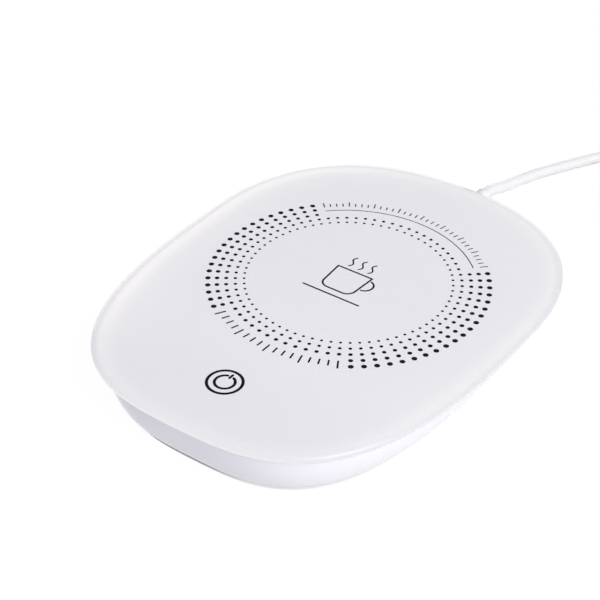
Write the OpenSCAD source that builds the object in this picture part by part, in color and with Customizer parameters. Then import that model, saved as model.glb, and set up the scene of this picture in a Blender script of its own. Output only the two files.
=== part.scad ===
// Electric mug warmer with a glass top and a 5 V lead.
// +Z is up, +Y runs to the back, where the lead leaves, and the touch key is at the front (-Y).
// The origin is on the table, under the middle of the glass top. All sizes are in millimetres.

/* [Glass top] */
// Width of the glass plate
plate_w = 105; // [96:1:116]
// Length of the plate from its widest line to the front
plate_front = 84; // [78:1:94]
// Length of the plate from its widest line to the back
plate_back = 52; // [48:1:58]
// Squareness of the front outline, where 2 is an ellipse
front_square = 2.9; // [2.6:0.1:3.4]
// Squareness of the back outline
back_square = 2.35; // [2.2:0.05:2.8]
// Thickness of the glass
glass_t = 3; // [2.4:0.1:4]
// Width of the soft crown around the rim
crown_w = 5; // [3:0.5:8]
// Drop of the crown from the flat top to the widest edge
crown_h = 1.7; // [1.2:0.1:2]
// Width of the round under the edge
under_w = 0.9; // [0.5:0.1:1]

/* [Print under the glass] */
// Thickness of the white enamel
enamel_t = 0.1; // [0.1:0.05:0.3]
// Inset of the enamel from the glass edge
enamel_inset = 1.2; // [1.1:0.1:2]

/* [Housing] */
// Height of the whole warmer
height = 18.5; // [18:0.5:22]
// Gap under the housing
base_gap = 1.6; // [1.2:0.1:2]
// Inset of the top of the wall from the glass edge
wall_inset = 2.6; // [2.2:0.1:3]
// Inset of the base edge from the glass edge at the sides
base_inset_w = 9; // [7:0.5:10]
// Inset of the base edge from the glass edge at the ends
base_inset_l = 7.5; // [6.5:0.5:8]
// Roundness of the wall, where 1 is a straight slope
wall_round = 1.4; // [1.3:0.1:2]
// Thickness of the wall
wall_t = 2; // [1.6:0.1:2.4]
// Thickness of the deck under the glass
deck_t = 1.8; // [1.5:0.1:2.2]
// Width of the solid rim that carries the glass
rim_w = 8; // [7.5:0.1:9]
// Thickness of the adhesive foam ring
seal_t = 0.3; // [0.2:0.1:0.5]
// Width of the adhesive foam ring
seal_w = 6; // [4:0.5:7]
// Width of the lip around the base opening
lip_w = 2.5; // [2:0.1:3]
// Height of that lip
lip_h = 2.5; // [2.3:0.1:3]

/* [Base cover] */
// Thickness of the base cover
cover_t = 2; // [1.6:0.1:2.2]
// Recess of the cover above the base edge
cover_recess = 0.3; // [0.2:0.1:0.5]
// Gap around the cover
cover_gap = 0.25; // [0.2:0.05:0.4]
// Diameter of a foot
foot_d = 10; // [8:0.5:11]
// Depth of a foot's pocket
foot_pocket = 0.8; // [0.6:0.1:1]
// Sideways place of the back feet
foot_back_x = 24; // [20:1:25]
// Place of the back feet along the warmer
foot_back_y = 39; // [36:1:40]
// Sideways place of the front feet
foot_front_x = 27; // [22:1:28]
// Place of the front feet along the warmer
foot_front_y = -29; // [-32:1:-24]
// Sideways place of the back cover screws
post_back_x = 19; // [18:1:20]
// Place of the back cover screws along the warmer
post_back_y = 49; // [48:1:49]
// Sideways place of the front cover screws
post_front_x = 25.5; // [25:0.5:26]
// Place of the front cover screws along the warmer
post_front_y = -43; // [-43:1:-41]
// Diameter of a cover screw
cover_screw_d = 3; // [2.5:0.1:3]
// Length of a cover screw under its head
cover_screw_l = 8; // [7:0.5:8.5]

/* [Heater] */
// Place of the heater's middle along the warmer
heat_y = 8.1; // [7:0.1:9]
// Diameter of the heat spreader
heater_d = 76; // [70:1:76]
// Gap around the heater in the deck
heater_gap = 1; // [0.8:0.1:1.2]
// Thickness of the heating film
film_t = 0.3; // [0.2:0.1:0.5]
// Thickness of the heat spreader
spreader_t = 1.2; // [0.8:0.1:1.5]
// Thickness of the felt pad
pad_t = 3; // [2.6:0.1:3.2]
// Thickness of the tray
tray_t = 0.8; // [0.6:0.1:1]
// Distance of the tray screws outside the heater's opening
lug_out = 4.5; // [4.2:0.1:5]
// Diameter of a small screw
small_screw_d = 2.5; // [2.2:0.1:2.5]
// Length of a small screw under its head
small_screw_l = 4; // [3.5:0.5:4]
// Width of the notch for the heater's leads
lead_notch_w = 12; // [11:1:16]
// Depth of the notch for the heater's leads
lead_notch_l = 5; // [4:0.5:6]
// Diameter of the sensor
sensor_d = 5; // [4:0.5:6]
// Height of the sensor
sensor_h = 2.5; // [2:0.1:2.8]
// Diameter of the thermal fuse
fuse_d = 2.4; // [2:0.1:2.5]
// Length of the thermal fuse
fuse_l = 9; // [7:0.5:11]
// Distance of the fuse behind the heater's middle
fuse_back = 16; // [12:1:22]

/* [Circuit board] */
// Width of the circuit board
board_w = 42; // [40:1:43]
// Length of the circuit board
board_l = 22; // [20:1:23]
// Thickness of the circuit board
board_t = 1.6; // [1.2:0.2:1.6]
// Height of the board's posts above the cover
board_lift = 2.4; // [2.2:0.1:3]
// Inset of the board screws from the board's sides
board_screw_in = 3.5; // [3:0.5:4]
// Place of the board's middle along the warmer
board_y = -45; // [-45.5:0.5:-44]
// Place of the touch key along the warmer
key_y = -47; // [-48:0.5:-45]
// Diameter of the window over the touch spring
key_window_d = 14; // [13:0.5:15]
// Mean diameter of the touch spring
spring_d = 6; // [5:0.5:7]
// Diameter of the spring's wire
spring_wire_d = 0.7; // [0.5:0.1:0.9]
// Turns of the touch spring
spring_turns = 5; // [4:1:6]

/* [Lead] */
// Diameter of the lead
cord_d = 3.6; // [3.2:0.1:3.8]
// Height of the lead where it leaves the wall
exit_z = 6.5; // [6.5:0.1:7]
// Length of the strain relief outside the port
relief_l = 18; // [16:1:22]
// Large diameter of the strain relief
relief_d = 7.6; // [7:0.1:8]
// Small diameter of the strain relief
relief_tip_d = 4.8; // [4.6:0.1:5.2]
// Diameter of the port in the wall
port_d = 5.6; // [5:0.1:6]
// Diameter of a wire inside
wire_d = 1.2; // [1:0.1:1.4]
// Width of the coiled lead's turns, counted in leads
coil_wide = 4; // [4:1:4]
// Height of the coiled lead's turns, counted in leads
coil_high = 2; // [2:1:2]
// Mean radius of the coil
coil_r = 20.5; // [20:0.1:21]

/* [Plug] */
// Width of the plug's grip
grip_w = 15.6; // [14:0.1:17]
// Height of the plug's grip
grip_h = 8; // [7:0.1:9]
// Length of the plug's grip
grip_l = 20; // [18:0.5:26]
// Length of the plug's steel shell
shell_l = 12; // [11:0.1:13]
// Width of the plug's steel shell
shell_w = 12; // [11.8:0.1:12.2]
// Height of the plug's steel shell
shell_h = 4.5; // [4.4:0.1:4.6]

/* [Hidden] */

plan_steps = 72;
clear = 0.05;
lap = 0.5;
widest_y = (plate_front - plate_back) / 2;
through = 50;

// Levels, from the glass down
glass_z = height - glass_t;
enamel_z = glass_z - enamel_t;
rim_z = enamel_z - seal_t;
deck_step = 0.2;
deck_z = rim_z - deck_step;
spreader_z = enamel_z - film_t - spreader_t;
pad_z = spreader_z - pad_t;
tray_z = pad_z - tray_t;

// Levels, from the table up
base_z = base_gap;
cover_z = base_z + cover_recess;
cover_top = cover_z + cover_t;
lip_z = base_z + lip_h;
board_z = cover_top + board_lift;
board_top = board_z + board_t;
board_edge = board_y + board_l / 2;
board_screw_x = board_w / 2 - board_screw_in;
part_x = board_w / 4;

// Small fasteners
head_h = 1.5;
small_head_d = 1.8 * small_screw_d;
boss_wall = 1.4;
small_boss_d = small_screw_d + 2 * boss_wall;
cover_head_d = 1.8 * cover_screw_d;
cover_boss_d = cover_screw_d + 4;
head_pocket_d = cover_head_d + 0.6;
head_pocket_h = 2.3;
collar_h = 1.6;
collar_top = cover_top + collar_h;
lug_angle = 45;
opening_d = heater_d + 2 * heater_gap;
lug_r = opening_d / 2 + lug_out;

// Points where like pieces repeat
post_points = [
    [-post_back_x, post_back_y], [post_back_x, post_back_y],
    [-post_front_x, post_front_y], [post_front_x, post_front_y]];
foot_points = [
    [-foot_back_x, foot_back_y], [foot_back_x, foot_back_y],
    [-foot_front_x, foot_front_y], [foot_front_x, foot_front_y]];
lug_points = [for (a = [lug_angle : 90 : 359]) [lug_r * cos(a), heat_y + lug_r * sin(a)]];
board_points = [for (side = [-1, 1]) [side * board_screw_x, board_y]];

// Lead: where it passes the wall, the clamp and the end of the strain relief
port_y = widest_y + plate_back - wall_inset;
port_wall = 5;
flange_t = 1.5;
flange_d = relief_d;
tail_end = port_y + 1.6;
clamp_gap = 4.4;
clamp_y = heat_y + heater_d / 2 + clamp_gap;
clamp_l = 5;
clamp_x = 6.5;
clamp_t = 1.6;
tail_start = clamp_y - 7;

// Route of the lead from the port to its coil, by hand
route = [
    [0, tail_end, exit_z], [0, 75, 6.5], [0, 79, 6.5], [0, 83, 6.5], [0.1, 87, 6.1],
    [0.4, 91, 5.1], [0.9, 95, 4.1], [1.3, 99, 3.3], [1.8, 103, 2.6], [2.7, 107, 2.1],
    [4, 111, 1.9], [5.8, 115, 1.8], [7.9, 119, 1.8], [10, 123, 1.8], [12.2, 127, 1.8],
    [14.5, 131, 1.8], [17, 135, 1.8], [20.2, 139, 1.8], [24.6, 143.5, 1.9], [30, 147.2, 2],
    [36.6, 149.9, 2.1], [44, 151.2, 2.2], [52, 151.5, 2.2], [59, 151.5, 2.2]];
coil_x = 59;
coil_y = 121.9;
tie_t = 0.4;
tie_from = 190;
tie_arc = 20;
tail_x = 88.6;
plug_route = [
    [tail_x, 122, 5.8], [tail_x, 117, 5.7], [tail_x, 112, 5.1], [tail_x, 107, 4.4],
    [tail_x, 103, 4], [tail_x, 98, 4]];
plug_y = 98;
plug_z = grip_h / 2;
sleeve_l = 6;
shell_front = plug_y - sleeve_l - grip_l - shell_l;
tongue_gap = 0.35;
tongue_h = 1.9;

// ---------------------------------------------------------------- plan outline and lofts

// Raise the size of v to the power p, with its sign kept
function signed_pow(v, p) = sign(v) * pow(abs(v), p);

// Point of the plan at angle a: a superellipse of one squareness in front and one behind
function plan_point(a, half_w, front_l, back_l) =
    let (square = sin(a) < 0 ? front_square : back_square,
        l = sin(a) < 0 ? front_l : back_l)
    [half_w * signed_pow(cos(a), 2 / square), widest_y + l * signed_pow(sin(a), 2 / square)];

// Plan outline with the sides drawn in by inset_w and the ends by inset_l
function plan(inset_w, inset_l) = [
    for (i = [0 : plan_steps - 1])
        plan_point(i * 360 / plan_steps, plate_w / 2 - inset_w, plate_front - inset_l,
            plate_back - inset_l)];

// The same outline as a ring of points at height z
function plan_ring(inset_w, inset_l, z) = [for (p = plan(inset_w, inset_l)) [p[0], p[1], z]];

// Quarter of a superellipse that turns in from 0 to 1 while s runs from 0 to 1
function turn_in(s, n) = 1 - pow(1 - pow(s, n), 1 / n);

// Faces between rings of n points: the last ring joins the first, or both ends are closed
function side_faces(rings, n, looped) = [
    for (j = [0 : (looped ? rings - 1 : rings - 2)], i = [0 : n - 1])
        let (a = j * n, b = ((j + 1) % rings) * n, k = (i + 1) % n)
        each [[a + i, b + i, b + k], [a + i, b + k, a + k]]];

// Solid through rings that lie one above the other, closed at both ends
module loft(rings) {
    n = len(rings[0]);
    m = len(rings);
    bottom = [[for (i = [0 : n - 1]) i]];
    top = [[for (i = [n - 1 : -1 : 0]) (m - 1) * n + i]];
    polyhedron([for (r = rings) each r], concat(side_faces(m, n, false), bottom, top), 10);
}

// Ring-shaped solid through rings that come back to the first one
module looped_loft(rings) {
    n = len(rings[0]);
    polyhedron([for (r = rings) each r], side_faces(len(rings), n, true), 10);
}

// ---------------------------------------------------------------- round wires

function unit(v) = v / norm(v);

// Direction of a path at point i
function heading(path, i) = unit(path[min(i + 1, len(path) - 1)] - path[max(i - 1, 0)]);

// The part of v that is square to direction t, at length 1
function square_to(v, t) = unit(v - (v * t) * t);

// One side vector for each point of a path, carried along so that the wire doesn't twist
function sides_along(path, first) = [
    for (i = 0, v = square_to(first, heading(path, 0));
        i < len(path);
        i = i + 1, v = i < len(path) ? square_to(v, heading(path, i)) : v) v];

// Smooth path: each stretch of the hand-set points is cut into parts on a Catmull-Rom curve
function curve_point(p0, p1, p2, p3, s) =
    0.5 * (2 * p1 + (p2 - p0) * s + (2 * p0 - 5 * p1 + 4 * p2 - p3) * s * s
        + (3 * p1 - p0 - 3 * p2 + p3) * s * s * s);
function smooth(path, parts) = let (last = len(path) - 1) [
    for (i = [0 : last - 1], k = [0 : parts - 1])
        curve_point(path[max(i - 1, 0)], path[i], path[i + 1], path[min(i + 2, last)], k / parts),
    path[last]];

// Round wire of diameter d along a path, with its side vector first at the start
module wire(path, d, sides = 8, first = [1, 0, 0]) {
    across = sides_along(path, first);
    rings = [
        for (i = [0 : len(path) - 1])
            let (t = heading(path, i), u = across[i], v = cross(t, u))
            [for (k = [0 : sides - 1])
                path[i] + d / 2 * (cos(k * 360 / sides) * u + sin(k * 360 / sides) * v)]];
    loft(rings);
}

// ---------------------------------------------------------------- fasteners and lugs

// Pan-head screw that points up from z = 0, with its cross recess below
module screw(d, length, head_d) {
    slot_l = head_d * 0.6;
    slot_w = d * 0.22;
    slot_h = 0.7;
    difference() {
        union() {
            translate([0, 0, -head_h]) cylinder(h = head_h, d = head_d, $fn = 32);
            cylinder(h = length, d = d, $fn = 32);
        }
        for (a = [0, 90])
            rotate([0, 0, a]) translate([-slot_l / 2, -slot_w / 2, -head_h - 1])
                cube([slot_l, slot_w, slot_h + 1]);
    }
}

module at_points(points, z) {
    for (p = points) translate([p[0], p[1], z]) children();
}

// ---------------------------------------------------------------- glass top

module glass_plate() {
    edge_h = glass_t - crown_h;
    under_steps = 4;
    crown_steps = 8;
    under = [
        for (k = [0 : under_steps - 1])
            let (a = 90 * k / under_steps, inset = under_w * (1 - sin(a)))
            plan_ring(inset, inset, glass_z + edge_h * (1 - cos(a)))];
    crown = [
        for (k = [0 : crown_steps])
            let (a = 90 * k / crown_steps, inset = crown_w * (1 - cos(a)))
            plan_ring(inset, inset, glass_z + edge_h + crown_h * sin(a))];
    color([0.9, 0.93, 0.94, 0.4]) loft(concat(under, crown));
}

module enamel_backing() {
    color([0.93, 0.93, 0.95])
        translate([0, 0, enamel_z])
            linear_extrude(enamel_t) polygon(plan(enamel_inset, enamel_inset));
}

module plate_seal() {
    outer = wall_inset + 0.6;
    inner = outer + seal_w;
    color([0.25, 0.25, 0.27])
        translate([0, 0, rim_z])
            linear_extrude(seal_t) difference() {
                polygon(plan(outer, outer));
                polygon(plan(inner, inner));
            }
}

// ---------------------------------------------------------------- housing

// Inset of the wall's outside at the sides and ends, s from 0 at its top to 1 at the base
function wall_in_w(s) = wall_inset + (base_inset_w - wall_inset) * turn_in(s, wall_round);
function wall_in_l(s) = wall_inset + (base_inset_l - wall_inset) * turn_in(s, wall_round);
function wall_s(z) = (rim_z - z) / (rim_z - base_z);

// Wall, rim and lip in one closed profile that runs around the plan
module housing_wall() {
    outer_s = [1, 0.985, 0.93, 0.84, 0.7, 0.52, 0.32, 0.12, 0];
    inner_z = [rim_z - deck_t, 11, 8.5, 6, lip_z];
    rim_in = wall_inset + rim_w;
    lip_in_w = base_inset_w + lip_w;
    lip_in_l = base_inset_l + lip_w;
    outer = [
        for (s = outer_s)
            plan_ring(wall_in_w(s), wall_in_l(s), rim_z - s * (rim_z - base_z))];
    rim = [plan_ring(rim_in, rim_in, rim_z), plan_ring(rim_in, rim_in, rim_z - deck_t)];
    inner = [
        for (z = inner_z)
            plan_ring(wall_in_w(wall_s(z)) + wall_t, wall_in_l(wall_s(z)) + wall_t, z)];
    lip = [plan_ring(lip_in_w, lip_in_l, lip_z), plan_ring(lip_in_w, lip_in_l, base_z)];
    looped_loft(concat(outer, rim, inner, lip));
}

module upper_housing() {
    deck_inset = wall_inset + rim_w - 1;
    color([0.95, 0.95, 0.96])
        difference() {
            union() {
                housing_wall();
                translate([0, 0, deck_z - deck_t])
                    linear_extrude(deck_t) polygon(plan(deck_inset, deck_inset));
                at_points(post_points, collar_top)
                    cylinder(h = deck_z - deck_t - collar_top + lap, d = cover_boss_d, $fn = 48);
                at_points(lug_points, pad_z)
                    cylinder(h = deck_z - deck_t - pad_z + lap, d = small_boss_d, $fn = 48);
                translate([0, port_y, exit_z]) rotate([90, 0, 0])
                    cylinder(h = port_wall, d = relief_d + 2, $fn = 48);
            }
            translate([0, heat_y, 0]) cylinder(h = through, d = opening_d, $fn = 120);
            translate([0, key_y, 0]) cylinder(h = through, d = key_window_d, $fn = 60);
            at_points(post_points, 0)
                cylinder(h = collar_top + cover_screw_l, d = cover_screw_d + 2 * clear, $fn = 32);
            at_points(lug_points, 0)
                cylinder(h = pad_z + small_screw_l, d = small_screw_d + 2 * clear, $fn = 32);
            translate([0, port_y + 1, exit_z]) rotate([90, 0, 0])
                cylinder(h = through, d = port_d + 2 * clear, $fn = 48);
            translate([0, port_y - port_wall, exit_z]) rotate([90, 0, 0])
                cylinder(h = flange_t + 1, d = flange_d + 0.4, $fn = 48);
        }
}

module base_cover() {
    cover_in_w = base_inset_w + lip_w + cover_gap;
    cover_in_l = base_inset_l + lip_w + cover_gap;
    color([0.93, 0.93, 0.94])
        difference() {
            union() {
                translate([0, 0, cover_z])
                    linear_extrude(cover_t) polygon(plan(cover_in_w, cover_in_l));
                at_points(post_points, cover_z + lap)
                    cylinder(h = collar_top - cover_z - lap, d = cover_boss_d + 2, $fn = 48);
                at_points(board_points, cover_z + lap)
                    cylinder(h = board_z - cover_z - lap, d = small_boss_d, $fn = 48);
                translate([-clamp_x - small_boss_d / 2, clamp_y - clamp_l / 2, cover_z + lap])
                    cube([2 * clamp_x + small_boss_d, clamp_l, exit_z + cord_d / 2 - cover_z - lap]);
            }
            at_points(post_points, 0)
                cylinder(h = cover_z + head_pocket_h, d = head_pocket_d, $fn = 48);
            at_points(post_points, 0)
                cylinder(h = through, d = cover_screw_d + 0.4, $fn = 32);
            at_points(foot_points, 0)
                cylinder(h = cover_z + foot_pocket, d = foot_d + 2 * clear, $fn = 48);
            at_points(board_points, board_top - small_screw_l)
                cylinder(h = through, d = small_screw_d + 2 * clear, $fn = 32);
            translate([0, clamp_y + clamp_l, exit_z]) rotate([90, 0, 0])
                cylinder(h = 2 * clamp_l, d = cord_d + 2 * clear, $fn = 48);
            translate([-cord_d / 2 - clear, clamp_y - clamp_l, exit_z])
                cube([cord_d + 2 * clear, 2 * clamp_l, cord_d]);
            for (side = [-1, 1])
                translate([side * clamp_x, clamp_y, exit_z + cord_d / 2 + clamp_t - small_screw_l])
                    cylinder(h = through, d = small_screw_d + 2 * clear, $fn = 32);
        }
}

module feet() {
    color([0.86, 0.86, 0.87])
        at_points(foot_points, 0)
            cylinder(h = cover_z + foot_pocket, d = foot_d, $fn = 48);
}

module base_screws() {
    color([0.72, 0.73, 0.75])
        at_points(post_points, cover_z + head_pocket_h) screw(cover_screw_d, cover_screw_l, cover_head_d);
}

// ---------------------------------------------------------------- heater

// Notch at the front of each disc, where the heater's leads go down
module lead_notch() {
    translate([-lead_notch_w / 2, heat_y - heater_d / 2 - 2, 0])
        cube([lead_notch_w, lead_notch_l + 2, through]);
}

module heating_film() {
    color([0.72, 0.42, 0.12])
        translate([0, heat_y, enamel_z - film_t]) cylinder(h = film_t, d = heater_d, $fn = 120);
}

module heat_spreader() {
    color([0.8, 0.81, 0.83])
        difference() {
            translate([0, heat_y, spreader_z]) cylinder(h = spreader_t, d = heater_d, $fn = 120);
            lead_notch();
        }
}

module insulation_pad() {
    slot_w = fuse_d + 1.2;
    slot_l = fuse_l + 10;
    color([0.88, 0.84, 0.74])
        difference() {
            translate([0, heat_y, pad_z]) cylinder(h = pad_t, d = heater_d, $fn = 120);
            lead_notch();
            translate([0, heat_y, 0]) cylinder(h = through, d = sensor_d + 2, $fn = 48);
            translate([-slot_l / 2, heat_y + fuse_back - slot_w / 2, 0])
                cube([slot_l, slot_w, through]);
        }
}

module heater_tray() {
    lug_d = small_boss_d + 1;
    color([0.7, 0.71, 0.73])
        difference() {
            translate([0, 0, tray_z])
                linear_extrude(tray_t) union() {
                    translate([0, heat_y]) circle(d = heater_d, $fn = 120);
                    for (a = [lug_angle : 90 : 359])
                        translate([0, heat_y]) rotate(a) {
                            translate([lug_r, 0]) circle(d = lug_d, $fn = 48);
                            translate([heater_d / 2 - lug_d, -lug_d / 2])
                                square([lug_r - heater_d / 2 + lug_d, lug_d]);
                        }
                }
            lead_notch();
            translate([0, heat_y, 0]) cylinder(h = through, d = sensor_d + 5, $fn = 48);
            at_points(lug_points, 0)
                cylinder(h = through, d = small_screw_d + 0.4, $fn = 32);
        }
}

module tray_screws() {
    color([0.72, 0.73, 0.75])
        at_points(lug_points, tray_z) screw(small_screw_d, small_screw_l, small_head_d);
}

module thermistor() {
    color([0.82, 0.83, 0.85])
        translate([0, heat_y, spreader_z - sensor_h]) cylinder(h = sensor_h, d = sensor_d, $fn = 48);
}

module thermal_fuse() {
    pin_d = 0.8;
    pin_l = 4;
    color([0.78, 0.76, 0.7])
        translate([0, heat_y + fuse_back, spreader_z - fuse_d / 2 - clear])
            rotate([0, 90, 0]) {
                translate([0, 0, -fuse_l / 2]) cylinder(h = fuse_l, d = fuse_d, $fn = 32);
                translate([0, 0, -fuse_l / 2 - pin_l])
                    cylinder(h = fuse_l + 2 * pin_l, d = pin_d, $fn = 24);
            }
}

// ---------------------------------------------------------------- circuit board

module circuit_board() {
    corner_r = 2;
    color([0.12, 0.42, 0.2])
        difference() {
            translate([0, board_y, board_z])
                linear_extrude(board_t) union() {
                    square([board_w - 2 * corner_r, board_l], center = true);
                    square([board_w, board_l - 2 * corner_r], center = true);
                    for (x = [-1, 1], y = [-1, 1])
                        translate([x * (board_w / 2 - corner_r), y * (board_l / 2 - corner_r)])
                            circle(r = corner_r, $fn = 32);
                }
            at_points(board_points, 0)
                cylinder(h = through, d = small_screw_d + 0.4, $fn = 32);
        }
}

// Plastic package on the board with a row of legs on each of two sides
module chip(body_w, body_l, body_h, legs, pitch) {
    leg_w = 0.5;
    reach = 1;
    leg_h = 0.6;
    translate([-body_w / 2, -body_l / 2, 0]) cube([body_w, body_l, body_h]);
    for (i = [0 : legs - 1])
        translate([-body_w / 2 - reach, (i - (legs - 1) / 2) * pitch - leg_w / 2, 0])
            cube([body_w + 2 * reach, leg_w, leg_h]);
}

module control_chip() {
    legs = 7;
    leg_pitch = 1.27;
    color([0.1, 0.1, 0.11])
        translate([-part_x, board_y + 2.5, board_top]) chip(4, 9, 1.6, legs, leg_pitch);
}

module power_transistor() {
    color([0.1, 0.1, 0.11])
        translate([part_x, board_y + 5.5, board_top]) {
            translate([-3.3, -3, 0]) cube([6.6, 6, 2.3]);
            translate([-2.6, 3, 0]) cube([5.2, 1.4, 0.6]);
            for (x = [-2.3, 0, 2.3])
                translate([x - 0.4, -5, 0]) cube([0.8, 2, 0.6]);
        }
}

module smoothing_capacitor() {
    cap_d = 5;
    cap_h = 4.6;
    foot_w = 5.3;
    foot_t = 0.8;
    color([0.75, 0.77, 0.8])
        translate([part_x, board_y - 5, board_top]) {
            translate([-foot_w / 2, -foot_w / 2, 0]) cube([foot_w, foot_w, foot_t]);
            cylinder(h = cap_h, d = cap_d, $fn = 48);
        }
}

module chip_resistors() {
    size = [1.25, 2, 0.5];
    side_x = board_w / 2 - 2.5;
    color([0.15, 0.14, 0.14])
        for (p = [[side_x, 5], [side_x, 8.5], [4.8, 1.5], [4.8, 5.5]], side = [-1, 1])
            translate([side * p[0] - size[0] / 2, board_y + p[1] - size[1] / 2, board_top]) cube(size);
}

module indicator_led() {
    lens_h = 1.2;
    color([0.95, 0.93, 0.8])
        translate([spring_d / 2 + 2.6, key_y, board_top]) {
            translate([-1, -1.5, 0]) cube([2, 3, 0.8]);
            cylinder(h = 0.8 + lens_h, d = 1.6, $fn = 32);
        }
}

module board_screws() {
    color([0.72, 0.73, 0.75])
        at_points(board_points, board_top)
            rotate([180, 0, 0]) screw(small_screw_d, small_screw_l - 0.2, small_head_d);
}

// Spring from the board to the enamel, with a flat turn at each end
module touch_spring() {
    steps = 14;
    low = board_top + spring_wire_d / 2 + clear;
    high = enamel_z - spring_wire_d / 2 - clear;
    turns = spring_turns + 2;
    path = [
        for (i = [0 : turns * steps])
            let (turn = i / steps, s = min(max((turn - 1) / spring_turns, 0), 1), a = 360 * turn)
            [spring_d / 2 * cos(a), key_y + spring_d / 2 * sin(a), low + (high - low) * s]];
    flat = spring_wire_d * 1.15;
    lifted = [
        for (i = [0 : len(path) - 1])
            let (turn = i / steps, up = turn < 1 ? (turn - 1) * flat : 0,
                down = turn > spring_turns + 1 ? (turn - spring_turns - 1) * flat : 0)
            path[i] + [0, 0, flat + up - (i / (len(path) - 1)) * 2 * flat + down]];
    color([0.78, 0.7, 0.5]) wire(lifted, spring_wire_d, 6);
}

// ---------------------------------------------------------------- wires inside

module heater_leads() {
    top = enamel_z - film_t - wire_d / 2 - clear;
    end_z = board_top + wire_d / 2 + 3 * clear;
    lead_y = heat_y - heater_d / 2 + lead_notch_l / 2;
    color([0.75, 0.1, 0.08])
        for (side = [-1, 1])
            wire(smooth([
                [side * 3, lead_y, top + wire_d / 2], [side * 3, lead_y, pad_z + 1],
                [side * 3, lead_y - 0.6, tray_z], [side * 3.2, lead_y - 2.4, end_z + 1],
                [side * 3.4, lead_y - 5.5, end_z], [side * 3.4, board_edge - 2.5, end_z]],
                3), wire_d);
}

module sensor_leads() {
    end_z = board_top + wire_d / 2 + clear;
    span = heat_y - board_edge;
    run_x = board_w / 2 - 13;
    color([0.85, 0.85, 0.86])
        for (side = [-1, 1])
            wire(smooth([
                [side, heat_y, spreader_z - sensor_h - clear], [side, heat_y - 0.01 * span, tray_z],
                [side, heat_y - 0.1 * span, end_z + 0.2], [side - 0.4 * run_x, heat_y - 0.43 * span, end_z],
                [side - 0.95 * run_x, heat_y - 0.76 * span, end_z], [side - run_x, board_edge + 2, end_z],
                [side - run_x, board_edge - 2, end_z]], 3), wire_d);
}

module supply_leads() {
    end_z = board_top + wire_d / 2 + clear;
    low_z = cover_top + 1.8;
    span = tail_start - board_edge;
    run_x = board_w / 2 - 5;
    color([0.15, 0.15, 0.16])
        for (side = [-1, 1])
            wire(smooth([
                [side * 0.8, tail_start - 0.3, exit_z], [side * 0.8, tail_start - 0.08 * span, exit_z - 0.2],
                [side + 0.12 * run_x, tail_start - 0.17 * span, low_z + 0.4],
                [side + 0.38 * run_x, tail_start - 0.28 * span, low_z],
                [side + 0.62 * run_x, tail_start - 0.41 * span, low_z],
                [side + 0.87 * run_x, tail_start - 0.57 * span, low_z],
                [side + run_x, board_edge + 0.26 * span, low_z + 0.2],
                [side + run_x, board_edge + 0.13 * span, low_z + 1],
                [side + run_x, board_edge + 3, end_z], [side + run_x, board_edge - 2, end_z]], 3), wire_d);
}

// ---------------------------------------------------------------- lead

// Cylinder along +Y from y = 0
module along_y(h, d1, d2) {
    rotate([-90, 0, 0]) cylinder(h = h, d1 = d1, d2 = d2, $fn = 48);
}

module cord_tail() {
    color([0.86, 0.86, 0.87])
        translate([0, tail_start, exit_z]) along_y(tail_end - tail_start, cord_d, cord_d);
}

module cord_clamp() {
    color([0.3, 0.3, 0.32])
        difference() {
            translate([-clamp_x - small_boss_d / 2, clamp_y - clamp_l / 2, exit_z + cord_d / 2])
                cube([2 * clamp_x + small_boss_d, clamp_l, clamp_t]);
            for (side = [-1, 1])
                translate([side * clamp_x, clamp_y, 0])
                    cylinder(h = through, d = small_screw_d + 0.4, $fn = 32);
        }
}

module clamp_screws() {
    color([0.72, 0.73, 0.75])
        for (side = [-1, 1])
            translate([side * clamp_x, clamp_y, exit_z + cord_d / 2 + clamp_t])
                rotate([180, 0, 0]) screw(small_screw_d, small_screw_l - 0.2, small_head_d);
}

// Flange inside the wall, neck in the port and a tapered sleeve with grooves outside
module strain_relief() {
    grooves = 5;
    groove_w = 1;
    pitch = 2.6;
    first = 3.4;
    core_d = cord_d + 0.9;
    spine_w = 1.6;
    color([0.86, 0.86, 0.87])
        difference() {
            union() {
                translate([0, port_y - port_wall - flange_t, exit_z]) along_y(flange_t, flange_d, flange_d);
                translate([0, port_y - port_wall - 0.1, exit_z]) along_y(port_wall + 0.2, port_d, port_d);
                translate([0, port_y, exit_z]) along_y(relief_l, relief_d, relief_tip_d);
            }
            translate([0, port_y - 10, exit_z])
                along_y(relief_l + 20, cord_d + 2 * clear, cord_d + 2 * clear);
            for (i = [0 : grooves - 1])
                translate([0, port_y + first + i * pitch, exit_z])
                    difference() {
                        along_y(groove_w, relief_d + 1, relief_d + 1);
                        translate([0, -0.1, 0]) along_y(groove_w + 0.2, core_d, core_d);
                        translate([-spine_w / 2, -0.1, -relief_d])
                            cube([spine_w, groove_w + 0.2, 2 * relief_d]);
                    }
        }
}

module cord() {
    color([0.86, 0.86, 0.87]) {
        wire(route, cord_d, 8);
        wire(plug_route, cord_d, 8);
    }
}

// Closed solid of the wound turns, as wide and high as they lie
module cord_coil() {
    wide = coil_wide * cord_d;
    high = coil_high * cord_d;
    color([0.86, 0.86, 0.87])
        translate([coil_x, coil_y, tie_t])
            rotate_extrude($fn = 96)
                translate([coil_r, high / 2]) union() {
                    square([wide - cord_d, high], center = true);
                    square([wide, high - cord_d], center = true);
                    for (x = [-1, 1], z = [-1, 1])
                        translate([x * (wide - cord_d) / 2, z * (high - cord_d) / 2])
                            circle(d = cord_d, $fn = 32);
                }
}

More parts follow.
